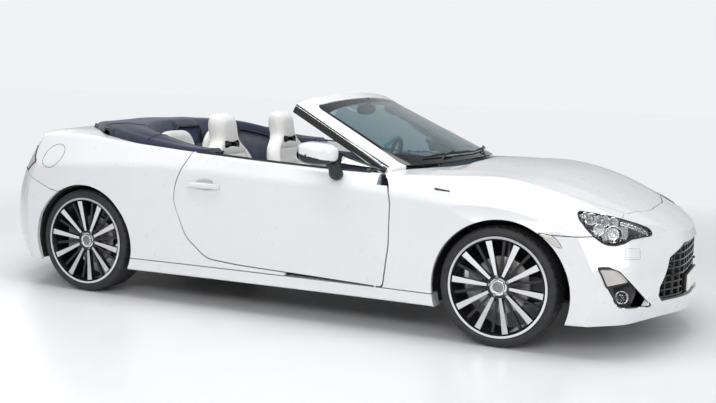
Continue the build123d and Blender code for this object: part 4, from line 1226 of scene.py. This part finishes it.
def quarter_windows():
    """Small fixed glass, its black frame and a painted filler at the foot of each screen post."""
    for tag, side in SIDES:
        lean = lambda x, z: side * (0.658 + 0.0925 * x if z > 0.88 else 0.716)
        points = [(x, lean(x, z) + d, z) for d in (-0.006, 0.006)
                  for ring in (QUARTER_OUTER, QUARTER_INNER) for x, z in ring]
        border = mesh_piece(f"quarter_frame_{tag}", points, frame_faces(4), BODY, "gloss", False)
        modify(border, "BEVEL", width=0.002, segments=2)
        points = [(x, lean(x, z) + d, z) for d in (-0.002, 0.002) for x, z in QUARTER_INNER]
        mesh_piece(f"quarter_glass_{tag}", points, loft_faces(2, 4, True), BODY, "tint", False)
        starts = [(FOOT_X, side * (0.700 + 0.012 * k), 1.1) for k in range(7)]
        section = cast_path(trees(f"wing_{tag}"), starts, (0, 0, -1))
        points = [(x, p.y, p.z + 0.05 * (FOOT_X - x) - 0.0005) for x in FOOT_COLUMNS for p in section]
        faces = sheet_faces(len(FOOT_COLUMNS), len(section), True)
        foot = mesh_piece(f"post_foot_{tag}", points, faces, BODY, "paint")
        modify(foot, "SOLIDIFY", thickness=0.030, offset=-1.0 if side > 0 else 1.0)


def wipers():
    """Two parked wipers whose blades lie along the foot of the screen."""
    tree = trees("windscreen_glass")
    for k, (y0, y1, pivot) in enumerate(((-0.520, -0.030, (0.800, -0.440)), (-0.010, 0.480, (0.892, 0.060)))):
        blade = []
        for i in range(9):
            y = y0 + (y1 - y0) * i / 8
            x = 0.905 - 0.62 * abs(y) ** 2.45 - 0.060 - 0.012 * sin(pi * i / 8)
            hit = cast(tree, (x, y, 1.4), (0, 0, -1))
            blade.append((hit[0] if hit else Vector((x, y, 0.88))) + Vector((0.004, 0, 0.009)))
        cord_line(f"wiper_blade_{k}", blade, 0.0045, BODY, "seal")
        cord_line(f"wiper_spine_{k}", [p + Vector((0, 0, 0.006)) for p in blade[1:8]], 0.0032, BODY, "black")
        foot = Vector((pivot[0], pivot[1], 0.872))
        arm = [foot, foot + Vector((-0.006, 0.02, 0.016)), blade[3].lerp(foot, 0.4) + Vector((0, 0, 0.014)),
               blade[4] + Vector((0, 0, 0.014))]
        cord_line(f"wiper_arm_{k}", arm, 0.0058, BODY, "black")


PANELS = ["front_bumper", "wing_left", "wing_right", "quarter_left", "quarter_right", "rear_bumper",
          "bonnet", "boot_lid"]
WING_SLOT = [(0.905, 0.783), (0.990, 0.774), (0.992, 0.768), (0.912, 0.773)]
MARKER = [(1.468, 0.606), (1.532, 0.600), (1.567, 0.578), (1.592, 0.542), (1.559, 0.548), (1.519, 0.575)]
FUEL_CAP_AT, FUEL_CAP_R, FUEL_CAP_DIR = (-1.545, 0.782), 0.077, (-0.15, -0.97, 0.17)
WASHER_AT, WASHER_DIR = (1.930, -0.590, 0.480), (0.1604, -0.9743, 0.1583)
WASHER_CORNERS = [Vector(p) for p in ((-0.082, 0.044), (-0.015, 0.049), (-0.012, -0.003), (-0.079, -0.008))]


def side_details():
    """Wing slot, marker lamp and washer cover on both sides, and the fuel cap on the right."""
    tree = trees(*PANELS)
    for tag, side in SIDES:
        out = (0, side, 0)
        place = lambda u, v, d: Vector((u, side * (0.75 + d), v))
        surface_patch(f"wing_slot_{tag}", WING_SLOT, place, out, tree, 0.0008, 0.0024, BODY, "gloss", 0.008, 0.0)
        surface_patch(f"marker_lamp_{tag}", MARKER, place, out, tree, 0.0014, 0.004, BODY, "indicator")
        ring = [place(u, v, 0.2) for u, v in rounded_outline(MARKER, 0.2, 2)]
        cord_line(f"marker_seal_{tag}", cast_path(tree, ring, (0, -side, 0)), 0.0022, BODY, "seal", True)
    fuel_cap(tree)
    washer_covers(tree)


def fuel_cap(tree):
    """Round shut line of the fuel cap, with a fine bead inside it."""
    out, turns = Vector(FUEL_CAP_DIR).normalized(), [2 * pi * i / 48 for i in range(48)]
    for k, (r, thick) in enumerate(((FUEL_CAP_R, 0.0013), (FUEL_CAP_R - 0.006, 0.0009))):
        ring = [Vector((FUEL_CAP_AT[0] + r * cos(a), -0.70, FUEL_CAP_AT[1] + r * sin(a))) + out * 0.4 for a in turns]
        cord_line(f"fuel_cap_line_{k}", cast_path(tree, ring, -out, 0.0002), thick, BODY, ("seal", "paint")[k], True)


def washer_covers(tree):
    """Outline and three ribs of the headlamp washer's cover."""
    for tag, side in SIDES:
        place, out = plane_at(WASHER_AT, WASHER_DIR, side), facing(WASHER_DIR, side)
        ring = [a.lerp(b, t) for a, b in zip(WASHER_CORNERS, WASHER_CORNERS[1:] + WASHER_CORNERS[:1])
                for t in (0.08, 0.36, 0.64, 0.92)]
        path = cast_path(tree, [place(*p, 0.25) for p in ring], -out)
        cord_line(f"washer_cover_{tag}", path, 0.0009, BODY, "grey", True)
        for k in range(3):
            down = 0.22 + 0.28 * k
            start = WASHER_CORNERS[0].lerp(WASHER_CORNERS[3], down)
            end = WASHER_CORNERS[1].lerp(WASHER_CORNERS[2], down)
            path = cast_path(tree, [place(*start.lerp(end, t), 0.25) for t in (0.06, 0.35, 0.65, 0.94)], -out)
            cord_line(f"washer_rib_{tag}_{k}", [p + out * 0.0005 for p in path], 0.0022, BODY, "paint")


PLATE_WIDTH, PLATE_LOW, PLATE_HIGH = 0.350, 0.262, 0.352
REAR_PLATE_WIDTH, REAR_PLATE_LOW, REAR_PLATE_HIGH = 0.520, 0.500, 0.612


def plate_outline(width, low, high):
    return [(-width / 2, low), (width / 2, low), (width / 2, high), (-width / 2, high)]


def number_plates():
    """Blank plates: the front one bends with the nose and stands on a slightly larger base."""
    outline = rounded_outline(plate_outline(PLATE_WIDTH, PLATE_LOW, PLATE_HIGH), 0.06, 3)
    mid = (PLATE_LOW + PLATE_HIGH) / 2
    for name, x, deep, grow, finish in (("front_plate", 2.112, 0.006, 1.0, "plate"),
                                        ("front_plate_base", 2.106, 0.012, 1.03, "black")):
        points = [(x - d - 0.22 * (p[0] * grow) ** 2, p[0] * grow, mid + (p[1] - mid) * grow)
                  for d in (0, deep) for p in outline]
        mesh_piece(name, points, loft_faces(2, len(outline), True), BODY, finish, False)
    tree = trees("front_bumper", "rear_bumper", "boot_lid", "grille")
    rear = plate_outline(REAR_PLATE_WIDTH, REAR_PLATE_LOW, REAR_PLATE_HIGH)
    surface_patch("rear_plate", rear, lambda u, v, d: Vector((-2.0 - d, u, v)), (-1, 0, 0), tree, 0.004, 0.003,
                  BODY, "plate", 0.03, 0.04)


MESH_STEP, MESH_ROWS, MESH_COLUMNS = 0.020, 14, 46


def grille_mesh():
    """Honeycomb mesh close behind the grille bars; each cell is a ring of six sloped faces."""
    bm = bmesh.new()
    corners = [(cos(pi / 3 * k + pi / 6), sin(pi / 3 * k + pi / 6)) for k in range(6)]
    for i in range(MESH_ROWS):
        z = 0.240 + i * MESH_STEP
        half = 0.485 - 0.75 * max(0.0, z - 0.36)
        for j in range(MESH_COLUMNS):
            y = -0.46 + (j + 0.5 * (i % 2)) * MESH_STEP
            if abs(y) > half - 0.03:
                continue
            x = 2.058 - 0.55 * y * y - 0.9 * abs(y) ** 4
            cell = [bm.verts.new((x, y + 0.0092 * c, z + 0.0104 * s)) for c, s in corners]
            hole = [bm.verts.new((x - 0.001, y + 0.0070 * c, z + 0.0078 * s)) for c, s in corners]
            for k in range(6):
                bm.faces.new((cell[k], cell[(k + 1) % 6], hole[(k + 1) % 6], hole[k]))
    modify(bmesh_piece("grille_mesh", bm, BODY, "black", False), "SOLIDIFY", thickness=0.004)


# Outline (x, z) of the painted shade patch under each door handle, a darker plate standing in for the finger recess
HANDLE_SHADE_OUTLINE = [(-0.525, 0.684), (-0.505, 0.733), (-0.450, 0.745), (-0.400, 0.733), (-0.385, 0.684),
              (-0.450, 0.672)]


def door_handles():
    """Grip cover at each handle, and a thin darker grey plate on the door with painted shade where the finger recess
    would be.
    """
    for tag, side in SIDES:
        body, tree = f"door_{tag}_body", trees(f"door_{tag}")
        rows = [(-0.572, 0.006, 0.004), (-0.560, 0.013, 0.008), (-0.500, 0.0165, 0.010), (-0.420, 0.0165, 0.010),
                (-0.362, 0.014, 0.008), (-0.346, 0.006, 0.004)]

        def shape(row, a):
            x, high, deep = row
            return (x, side * (0.881 + deep * sin(a)), 0.701 + 0.010 * (x + 0.46) * -0.5 + high * cos(a))

        points, faces = ring_form(rows, 16, shape)
        subdivided(mesh_piece(f"handle_grip_{tag}", points, faces, body, "paint"))
        place = lambda u, v, d: Vector((u, side * (0.80 + d), v))
        # Painted shade: a thin darker plate laid on the door instead of a recess cut into it
        surface_patch(f"handle_painted_shade_{tag}", HANDLE_SHADE_OUTLINE, place, (0, side, 0), tree, 0.0005, 0.0006, body, "shade")


# ---- cabin ----------------------------------------------------------------------
WHEEL_AT, WHEEL_TILT = Vector((0.425, -0.370, 0.833)), radians(24)


def wheel_place(r, a, d):
    """A point r from the steering wheel's centre at angle a, d towards the driver."""
    out = Vector((-cos(WHEEL_TILT), 0, sin(WHEEL_TILT)))
    up = Vector((sin(WHEEL_TILT), 0, cos(WHEEL_TILT)))
    return WHEEL_AT + Vector((0, 1, 0)) * (r * cos(a)) + up * (r * sin(a)) + out * d


def steering_details():
    """Centre pad, bright spoke trims and stitching on the steering wheel, and the column's stalks."""
    outline = rounded_outline([(-0.068, 0.050), (0.068, 0.050), (0.074, -0.005), (0.036, -0.062),
                               (-0.036, -0.062), (-0.074, -0.005)], 0.3, 4)
    rings = [(1.0, 0.004), (1.0, 0.026), (0.93, 0.035), (0.70, 0.041), (0.35, 0.044), (0.02, 0.045)]
    spots = [(Vector(p) * grow, d) for grow, d in rings for p in outline]
    points = [wheel_place(v.length, atan2(v.y, v.x), d) for v, d in spots]
    mesh_piece("wheel_pad", points, loft_faces(len(rings), len(outline)), BODY, "navy_leather")
    ring = [wheel_place(0.020, 2 * pi * k / 24, 0.0445) for k in range(24)]
    cord_line("wheel_pad_ring", ring, 0.0016, BODY, "chrome", True)
    for k, a in enumerate((0.12, pi - 0.12, -pi / 2)):
        spoke = [wheel_place(r, a, 0.024 - 0.04 * (r - 0.06)) for r in (0.070, 0.10, 0.13, 0.158)]
        cord_line(f"wheel_spoke_trim_{k}", spoke, 0.0075, BODY, "chrome")
    thread = [wheel_place(0.1625, 2 * pi * k / 60, 0.004) for k in range(60)]
    cord_line("wheel_stitch", thread, 0.0012, BODY, "thread", True)
    for tag, side in SIDES:
        foot = wheel_place(0.055, 0 if side > 0 else pi, -0.045)
        tip = wheel_place(0.185, 0.18 if side > 0 else pi - 0.18, -0.038)
        cord_line(f"column_stalk_{tag}", [foot, foot.lerp(tip, 0.5), tip], 0.0065, BODY, "black")


def instrument_hood():
    """Arched hood over the dials, with the dark panel that carries them."""
    rows = [(0.494, 0.146, 0.906), (0.530, 0.150, 0.912), (0.600, 0.146, 0.904), (0.670, 0.130, 0.880),
            (0.715, 0.105, 0.852)]
    n, foot = 17, 0.843
    angles = [pi * k / (n - 1) for k in range(n)]
    points = [(x, -DRIVER_Y + half * power(cos(a), 0.55), foot + (top - foot) * power(sin(a), 0.6))
              for x, half, top in rows for a in angles]
    hood = mesh_piece("instrument_hood", points, sheet_faces(len(rows), n, True), BODY, "navy_leather")
    modify(hood, "SUBSURF", levels=1, render_levels=1)
    modify(hood, "SOLIDIFY", thickness=0.006, offset=-1.0)
    panel = [Vector(p) + Vector((0.004, 0, 0)) for p in points[n:2 * n]]
    back = mesh_piece("instrument_panel", panel, [tuple(range(n))], BODY, "gloss", False)
    modify(back, "SOLIDIFY", thickness=0.004)


VENT_R = 0.031
CENTRE_SCREEN = [(-0.075, 0.790), (0.075, 0.790), (0.078, 0.690), (-0.078, 0.690)]
GLOVE_BOX = [(0.215, 0.770), (0.500, 0.770), (0.510, 0.655), (0.225, 0.650)]


def dash_details():
    """Dials, vents, screen, knobs, glove box line and stitched trim on the dashboard."""
    tree = trees("dashboard")

    def seat_on(y, z):
        """Coordinates that stand on the dashboard's face at one point."""
        hit = cast(tree, (0.0, y, z), (1, 0, 0))
        normal = hit[1] if hit[1].x < 0 else -hit[1]
        up = Vector((0, 1, 0)).cross(normal) * -1
        up = up if up.z > 0 else -up
        return lambda u, v, d: hit[0] + Vector((0, 1, 0)) * u + up * v + normal * d

    def on_dash(y, z, lift=0.0):
        hit = cast(tree, (0.0, y, z), (1, 0, 0))
        return (hit[0] if hit else Vector((0.55, y, z))) - Vector((lift, 0, 0))

    for k, (y, r) in enumerate(((-0.448, 0.030), (-0.292, 0.030), (-0.370, 0.022))):
        centre = Vector((0.530, y, 0.876 if k < 2 else 0.880))
        dial = lambda u, v, d: centre + Vector((-d, u, v))
        turned(f"dial_{k}", [(r, 0), (r, 0.010), (r * 0.94, 0.014), (r * 0.90, 0.008), (r * 0.88, 0.002),
                             (POLE_R, 0.002), (POLE_R, 0.0)], 36, dial, BODY, "gloss")
        for t in range(9):
            a = radians(225 - 33.75 * t)
            spot = [dial(r * q * cos(a), r * q * sin(a), 0.003) for q in (0.70, 0.80)]
            cord_line(f"dial_mark_{k}_{t}", spot, 0.0009, BODY, "plate")
        a = radians(150 - 40 * k)
        cord_line(f"dial_needle_{k}", [dial(0, 0, 0.005), dial(r * 0.66 * cos(a), r * 0.66 * sin(a), 0.005)],
                  0.0010, BODY, "red_lens")
    for k, (y, z) in enumerate(((-0.560, 0.735), (-0.150, 0.735), (0.150, 0.735), (0.560, 0.735))):
        vent = seat_on(y, z)
        turned(f"vent_ring_{k}", [(0.040, -0.004), (0.040, 0.008), (0.036, 0.012), (0.032, 0.008),
                                  (VENT_R, -0.004)], 32, vent, BODY, "chrome")
        for t in (-0.018, -0.009, 0.0, 0.009, 0.018):
            half = sqrt(VENT_R ** 2 - t * t)
            name = f"vent_blade_{k}_{t * 1000:.0f}".replace("-", "m")
            cord_line(name, [vent(-half, t, 0.002), vent(half, t, 0.002)], 0.0022, BODY, "black")
    place = lambda u, v, d: Vector((0.25 - d, u, v))
    surface_patch("centre_screen", CENTRE_SCREEN, place, (-1, 0, 0), tree, 0.003, 0.004, BODY, "gloss", 0.02, 0.08)
    for k in range(3):
        turned(f"climate_knob_{k}", [(0.019, 0), (0.018, 0.014), (0.015, 0.017), (POLE_R, 0.018), (POLE_R, 0)],
               24, seat_on(-0.052 + 0.052 * k, 0.655), BODY, "cast")
    ring = [on_dash(p[0], p[1], 0.0003) for p in rounded_outline(GLOVE_BOX, 0.12, 3)]
    cord_line("glove_box_line", ring, 0.0013, BODY, "seal", True)
    for name, z, finish, r in (("dash_trim", 0.800, "white_leather", 0.0065),
                               ("dash_stitch", 0.818, "thread", 0.0012)):
        for tag, y0, y1 in (("left", 0.130, 0.545), ("right", -0.560, -0.150)):
            path = [on_dash(y0 + (y1 - y0) * k / 14, z, 0.001) for k in range(15)]
            cord_line(f"{name}_{tag}", path, r, BODY, finish)


def console_details():
    """Gear lever with its gaiter, handbrake, cup holders and an armrest pad."""
    tree = trees("centre_console")
    top = lambda x, y=0.0: (cast(tree, (x, y, 1.2), (0, 0, -1)) or [Vector((x, y, 0.48))])[0]
    at = top(0.170)
    gaiter = lambda u, v, d: at + Vector((u, v, d)) + Vector((-0.10, 0, 0)) * d
    turned("gear_gaiter", [(0.052, 0.0), (0.047, 0.012), (0.040, 0.016), (0.036, 0.028), (0.029, 0.034),
                           (0.024, 0.052), (0.014, 0.060), (0.009, 0.066), (POLE_R, 0.066), (POLE_R, 0.0)],
           36, gaiter, BODY, "navy_leather", lambda i, j, r, d: (0.0022 * sin(i * 5 * pi / 6) * (0 < j < 6), 0))
    ring = [gaiter(0.053 * cos(2 * pi * k / 24), 0.053 * sin(2 * pi * k / 24), 0.001) for k in range(24)]
    cord_line("gear_gaiter_ring", ring, 0.003, BODY, "chrome", True)
    turned("gear_knob", [(0.0085, 0.060), (0.0085, 0.092), (0.017, 0.098), (0.0225, 0.112), (0.0215, 0.128),
                         (0.014, 0.137), (POLE_R, 0.139), (POLE_R, 0.060)], 28, gaiter, BODY, "white_leather")
    for k, x in enumerate((0.020, -0.062)):
        spot = top(x)
        turned(f"cup_holder_{k}", [(0.039, 0.0), (0.038, 0.004), (0.034, 0.004), (0.033, -0.002), (0.032, 0.001),
                                   (POLE_R, 0.001), (POLE_R, -0.001)], 32,
               lambda u, v, d: spot + Vector((u, v, d)), BODY, "gloss")
    grip = [top(-0.150, -0.055) + Vector((0, 0, 0.010)), top(-0.075, -0.055) + Vector((0, 0, 0.030)),
            top(0.020, -0.055) + Vector((0, 0, 0.040)), top(0.075, -0.055) + Vector((0, 0, 0.046))]
    cord_line("handbrake", grip, 0.013, BODY, "white_leather")
    cord_line("handbrake_button", [grip[-1], grip[-1] + Vector((0.016, 0, 0.004))], 0.0075, BODY, "chrome")
    rows = [(-0.590, 0.070, 0.012), (-0.580, 0.090, 0.026), (-0.430, 0.094, 0.032), (-0.275, 0.092, 0.028),
            (-0.262, 0.076, 0.012)]

    def shape(row, a):
        x, half, high = row
        return (x, half * power(cos(a), 0.5), top(-0.42).z + 0.002 + high * 0.5 * (1 + power(sin(a), 0.6)))

    points, faces = ring_form(rows, 24, shape)
    rest = subdivided(mesh_piece("armrest_pad", points, faces, BODY, "white_leather"))


DOOR_CARD = [(-0.500, 0.690), (0.420, 0.660), (0.470, 0.770), (-0.500, 0.815)]
DOOR_CARD_LOW = [(-0.480, 0.640), (0.430, 0.620), (0.440, 0.330), (-0.430, 0.330)]


def door_cards():
    """Armrest, pull, release lever, two trimmed panels and a pocket line on each door's inner face."""
    for tag, side in SIDES:
        body, tree = f"door_{tag}_body", trees(f"door_{tag}")
        inner = lambda x, z, lift=0.0: (cast(tree, (x, side * 0.60, z), (0, side, 0))
                                        or [Vector((x, side * 0.776, z))])[0] - Vector((0, side * lift, 0))
        rows = [(-0.460, 0.006, 0.014), (-0.448, 0.022, 0.030), (-0.300, 0.026, 0.036), (-0.020, 0.026, 0.036),
                (0.180, 0.022, 0.030), (0.230, 0.008, 0.014)]

        def shape(row, a):
            x, deep, high = row
            spot = inner(x, 0.610)
            return (x, spot.y - side * (deep * (0.92 + power(cos(a), 0.7))), 0.610 + high * power(sin(a), 0.7))

        points, faces = ring_form(rows, 20, shape)
        subdivided(mesh_piece(f"door_armrest_{tag}", points, faces, body, "white_leather"))
        pull = [inner(x, 0.655 + 0.012 * sin(pi * k / 6), 0.006 + 0.022 * sin(pi * k / 6))
                for k, x in enumerate([-0.08 + 0.035 * i for i in range(7)])]
        cord_line(f"door_pull_{tag}", pull, 0.0085, body, "chrome")
        lever = [inner(0.265 + 0.012 * k, 0.730 - 0.004 * k, 0.008 + 0.006 * (k > 0)) for k in range(6)]
        cord_line(f"door_lever_{tag}", lever, 0.006, body, "chrome")
        place = lambda u, v, d: Vector((u, side * (0.80 - d), v))
        for name, outline, finish in (("door_card", DOOR_CARD, "navy_leather"),
                                      ("door_card_low", DOOR_CARD_LOW, "white_leather")):
            surface_patch(f"{name}_{tag}", outline, place, (0, -side, 0), tree, 0.002, 0.003,
                          body, finish, 0.05, 0.08)
        places = [-0.36 + 0.06 * k for k in range(12)]
        pocket = [inner(x, 0.42 + 0.02 * cos((x + 0.02) * 7), 0.010) for x in places]
        cord_line(f"door_pocket_{tag}", pocket, 0.006, body, "navy_leather")


def belts():
    """Belt webbing down the seat's outer side to its buckle, and the inner stalk."""
    for tag, side in SIDES:
        y = side * (DRIVER_Y + 0.268)
        path = [Vector((-0.640, side * 0.640, 0.820)), Vector((-0.600, y, 0.660)), Vector((-0.560, y, 0.480)),
                Vector((-0.500, y, 0.330))]
        cord_line(f"belt_{tag}", path, 0.004, BODY, "webbing")
        stalk = [Vector((-0.360, side * 0.112, 0.360)), Vector((-0.370, side * 0.112, 0.430)),
                 Vector((-0.380, side * 0.112, 0.470))]
        cord_line(f"belt_stalk_{tag}", stalk, 0.009, BODY, "black")


def rear_view_mirror():
    """Inside mirror on its stem under the header."""
    stem = [Vector((0.150, 0.0, 1.205)), Vector((0.158, 0.0, 1.180)), Vector((0.145, 0.0, 1.150))]
    cord_line("inside_mirror_stem", stem, 0.009, BODY, "black")
    outline = rounded_outline([(-0.115, 1.105), (0.115, 1.105), (0.122, 1.165), (-0.122, 1.165)], 0.35, 5)
    rings, middle = [(0.134, 0.98), (0.138, 1.0), (0.150, 1.0), (0.163, 0.80)], 1.135
    points = [(x, p[0] * g, middle + (p[1] - middle) * g) for x, g in rings for p in outline]
    mesh_piece("inside_mirror", points, loft_faces(len(rings), len(outline)), BODY, "black")
    points = [(0.133 - d, p[0] * 0.92, middle + (p[1] - middle) * 0.88) for d in (0.0, 0.001) for p in outline]
    mesh_piece("inside_mirror_glass", points, loft_faces(2, len(outline), True), BODY, "chrome", False)


def strip_x(name, path, wide, body, finish):
    """Flat band facing forward along a path, wide across the car."""
    section = [(-0.5, -0.001), (-0.42, 0.0025), (0.42, 0.0025), (0.5, -0.001)]
    points = [Vector(p) + Vector((dx, dy * wide, 0)) for p in path for dy, dx in section]
    return mesh_piece(name, points, loft_faces(len(path), len(section)), body, finish)


def rear_trim():
    """Straps down the rear backrests."""
    graph, heights = bpy.context.evaluated_depsgraph_get(), [0.48 + 0.03 * i for i in range(13)]
    tree = [BVHTree.FromObject(bpy.data.objects[f"rear_back_{tag}"], graph) for tag, _ in SIDES]
    for tag, side in SIDES:
        for k, s in enumerate((-1, 1)):
            y = side * REAR_SEAT_Y + s * 0.168
            landed = cast_path(tree, [(-0.60, y, z) for z in heights], (-1, 0, 0))
            if len(landed) > 3:
                path = [p + Vector((0.001, 0, 0)) for p in landed]
                strip_x(f"rear_strap_{tag}_{k}", path, 0.030, BODY, "navy_leather")


# ---- camera, lights and floor ----------------------------------------------------
CAMERA_AT = (2.74741, -5.84418, 1.35447)
CAMERA_YAW, CAMERA_PITCH, CAMERA_ROLL = -0.4245, 0.1220, 0.0290
CAMERA_LENS = 52.636


def camera():
    """The photograph's camera."""
    data = bpy.data.cameras.new("camera")
    data.lens, data.sensor_width, data.clip_end = CAMERA_LENS, 36.0, 60.0
    obj = linked("camera", data)
    bpy.context.scene.camera = obj
    level = cos(CAMERA_PITCH)
    ahead = Vector((sin(CAMERA_YAW) * level, cos(CAMERA_YAW) * level, -sin(CAMERA_PITCH)))
    across = Vector((cos(CAMERA_YAW), -sin(CAMERA_YAW), 0.0))
    up = across.cross(ahead)
    c, s = cos(CAMERA_ROLL), sin(CAMERA_ROLL)
    columns = (c * across + s * up, -s * across + c * up, -ahead)
    turn = Matrix([[column[i] for column in columns] for i in range(3)]).to_4x4()
    obj.matrix_world = Matrix.Translation(CAMERA_AT) @ turn


def softbox(name, at, aim, width, height, watts):
    """Rectangular area light aimed at a point."""
    data = bpy.data.lights.new(name, "AREA")
    data.shape, data.size, data.size_y, data.energy = "RECTANGLE", width, height, watts
    obj = linked(name, data)
    obj.location = at
    obj.rotation_euler = (Vector(aim) - Vector(at)).to_track_quat("-Z", "Y").to_euler()


WORLD_LIGHT, WORLD_SEEN = 0.50, 0.92
FLOOR_FADE = (2.6, 6.5)


def studio():
    """Pale floor, a white surround and soft boxes above and beside the car."""
    world = bpy.data.worlds.new("surround")
    bpy.context.scene.world = world
    world.use_nodes = True
    nodes, links = world.node_tree.nodes, world.node_tree.links
    shade = nodes["Background"]
    seen = nodes.new("ShaderNodeLightPath")
    seen_straight = nodes.new("ShaderNodeMath")
    seen_straight.operation = "MAXIMUM"
    links.new(seen.outputs["Is Camera Ray"], seen_straight.inputs[0])
    links.new(seen.outputs["Is Transmission Ray"], seen_straight.inputs[1])
    level = nodes.new("ShaderNodeMapRange")
    links.new(seen_straight.outputs[0], level.inputs["Value"])
    level.inputs["To Min"].default_value, level.inputs["To Max"].default_value = WORLD_LIGHT, WORLD_SEEN
    links.new(level.outputs[0], shade.inputs["Strength"])
    shade.inputs["Color"].default_value = (0.95, 0.97, 1.0, 1)
    softbox("top_box", (0.3, -0.6, 5.2), (0.0, 0.0, 0.6), 5.5, 2.6, 190)
    softbox("side_box", (1.5, -6.5, 3.6), (0.0, 0.0, 0.5), 5.0, 1.6, 150)
    softbox("nose_box", (6.5, -1.5, 2.6), (1.5, 0.0, 0.6), 2.5, 2.0, 60)
    softbox("tail_box", (-6.0, 2.5, 3.2), (-1.0, 0.0, 0.6), 2.5, 2.0, 60)
    studio_floor()
    bpy.context.scene.view_settings.view_transform = "Standard"


def studio_floor():
    """Wide floor that fades into the surround away from the car, for the camera alone."""
    bm = bmesh.new()
    bmesh.ops.create_grid(bm, x_segments=8, y_segments=8, size=40.0)
    floor = linked("floor", mesh_of("floor", bm))
    f = Finish("floor", (0.80, 0.80, 0.81), 0.35)
    f.mottle(0.6, 0.01)
    x, y, _ = f.axes()
    reach = f.math("SQRT", f.math("ADD", f.math("MULTIPLY", x, x), f.math("MULTIPLY", y, y)))
    away = f.range(reach, *FLOOR_FADE)
    rays = f.nodes.new("ShaderNodeLightPath")
    glow = f.nodes.new("ShaderNodeEmission")
    glow.inputs["Color"].default_value = (0.86, 0.87, 0.89, 1)
    f.mixed(f.math("MULTIPLY", away, rays.outputs["Is Camera Ray"]), glow)
    floor.data.materials.append(f.mat)


# ---- everything in order ---------------------------------------------------------
camera()
studio()
dress_nodes()
tyres()
wheel_trim()
brakes()
front_seats()
rear_seats()
soft_cover()
headlamps()
fog_lamps()
tail_lamps()
mirrors()
screen_seals()
belt_strips()
quarter_windows()
wipers()
side_details()
number_plates()
grille_mesh()
door_handles()
steering_details()
instrument_hood()
dash_details()
console_details()
door_cards()
belts()
rear_view_mirror()
rear_trim()
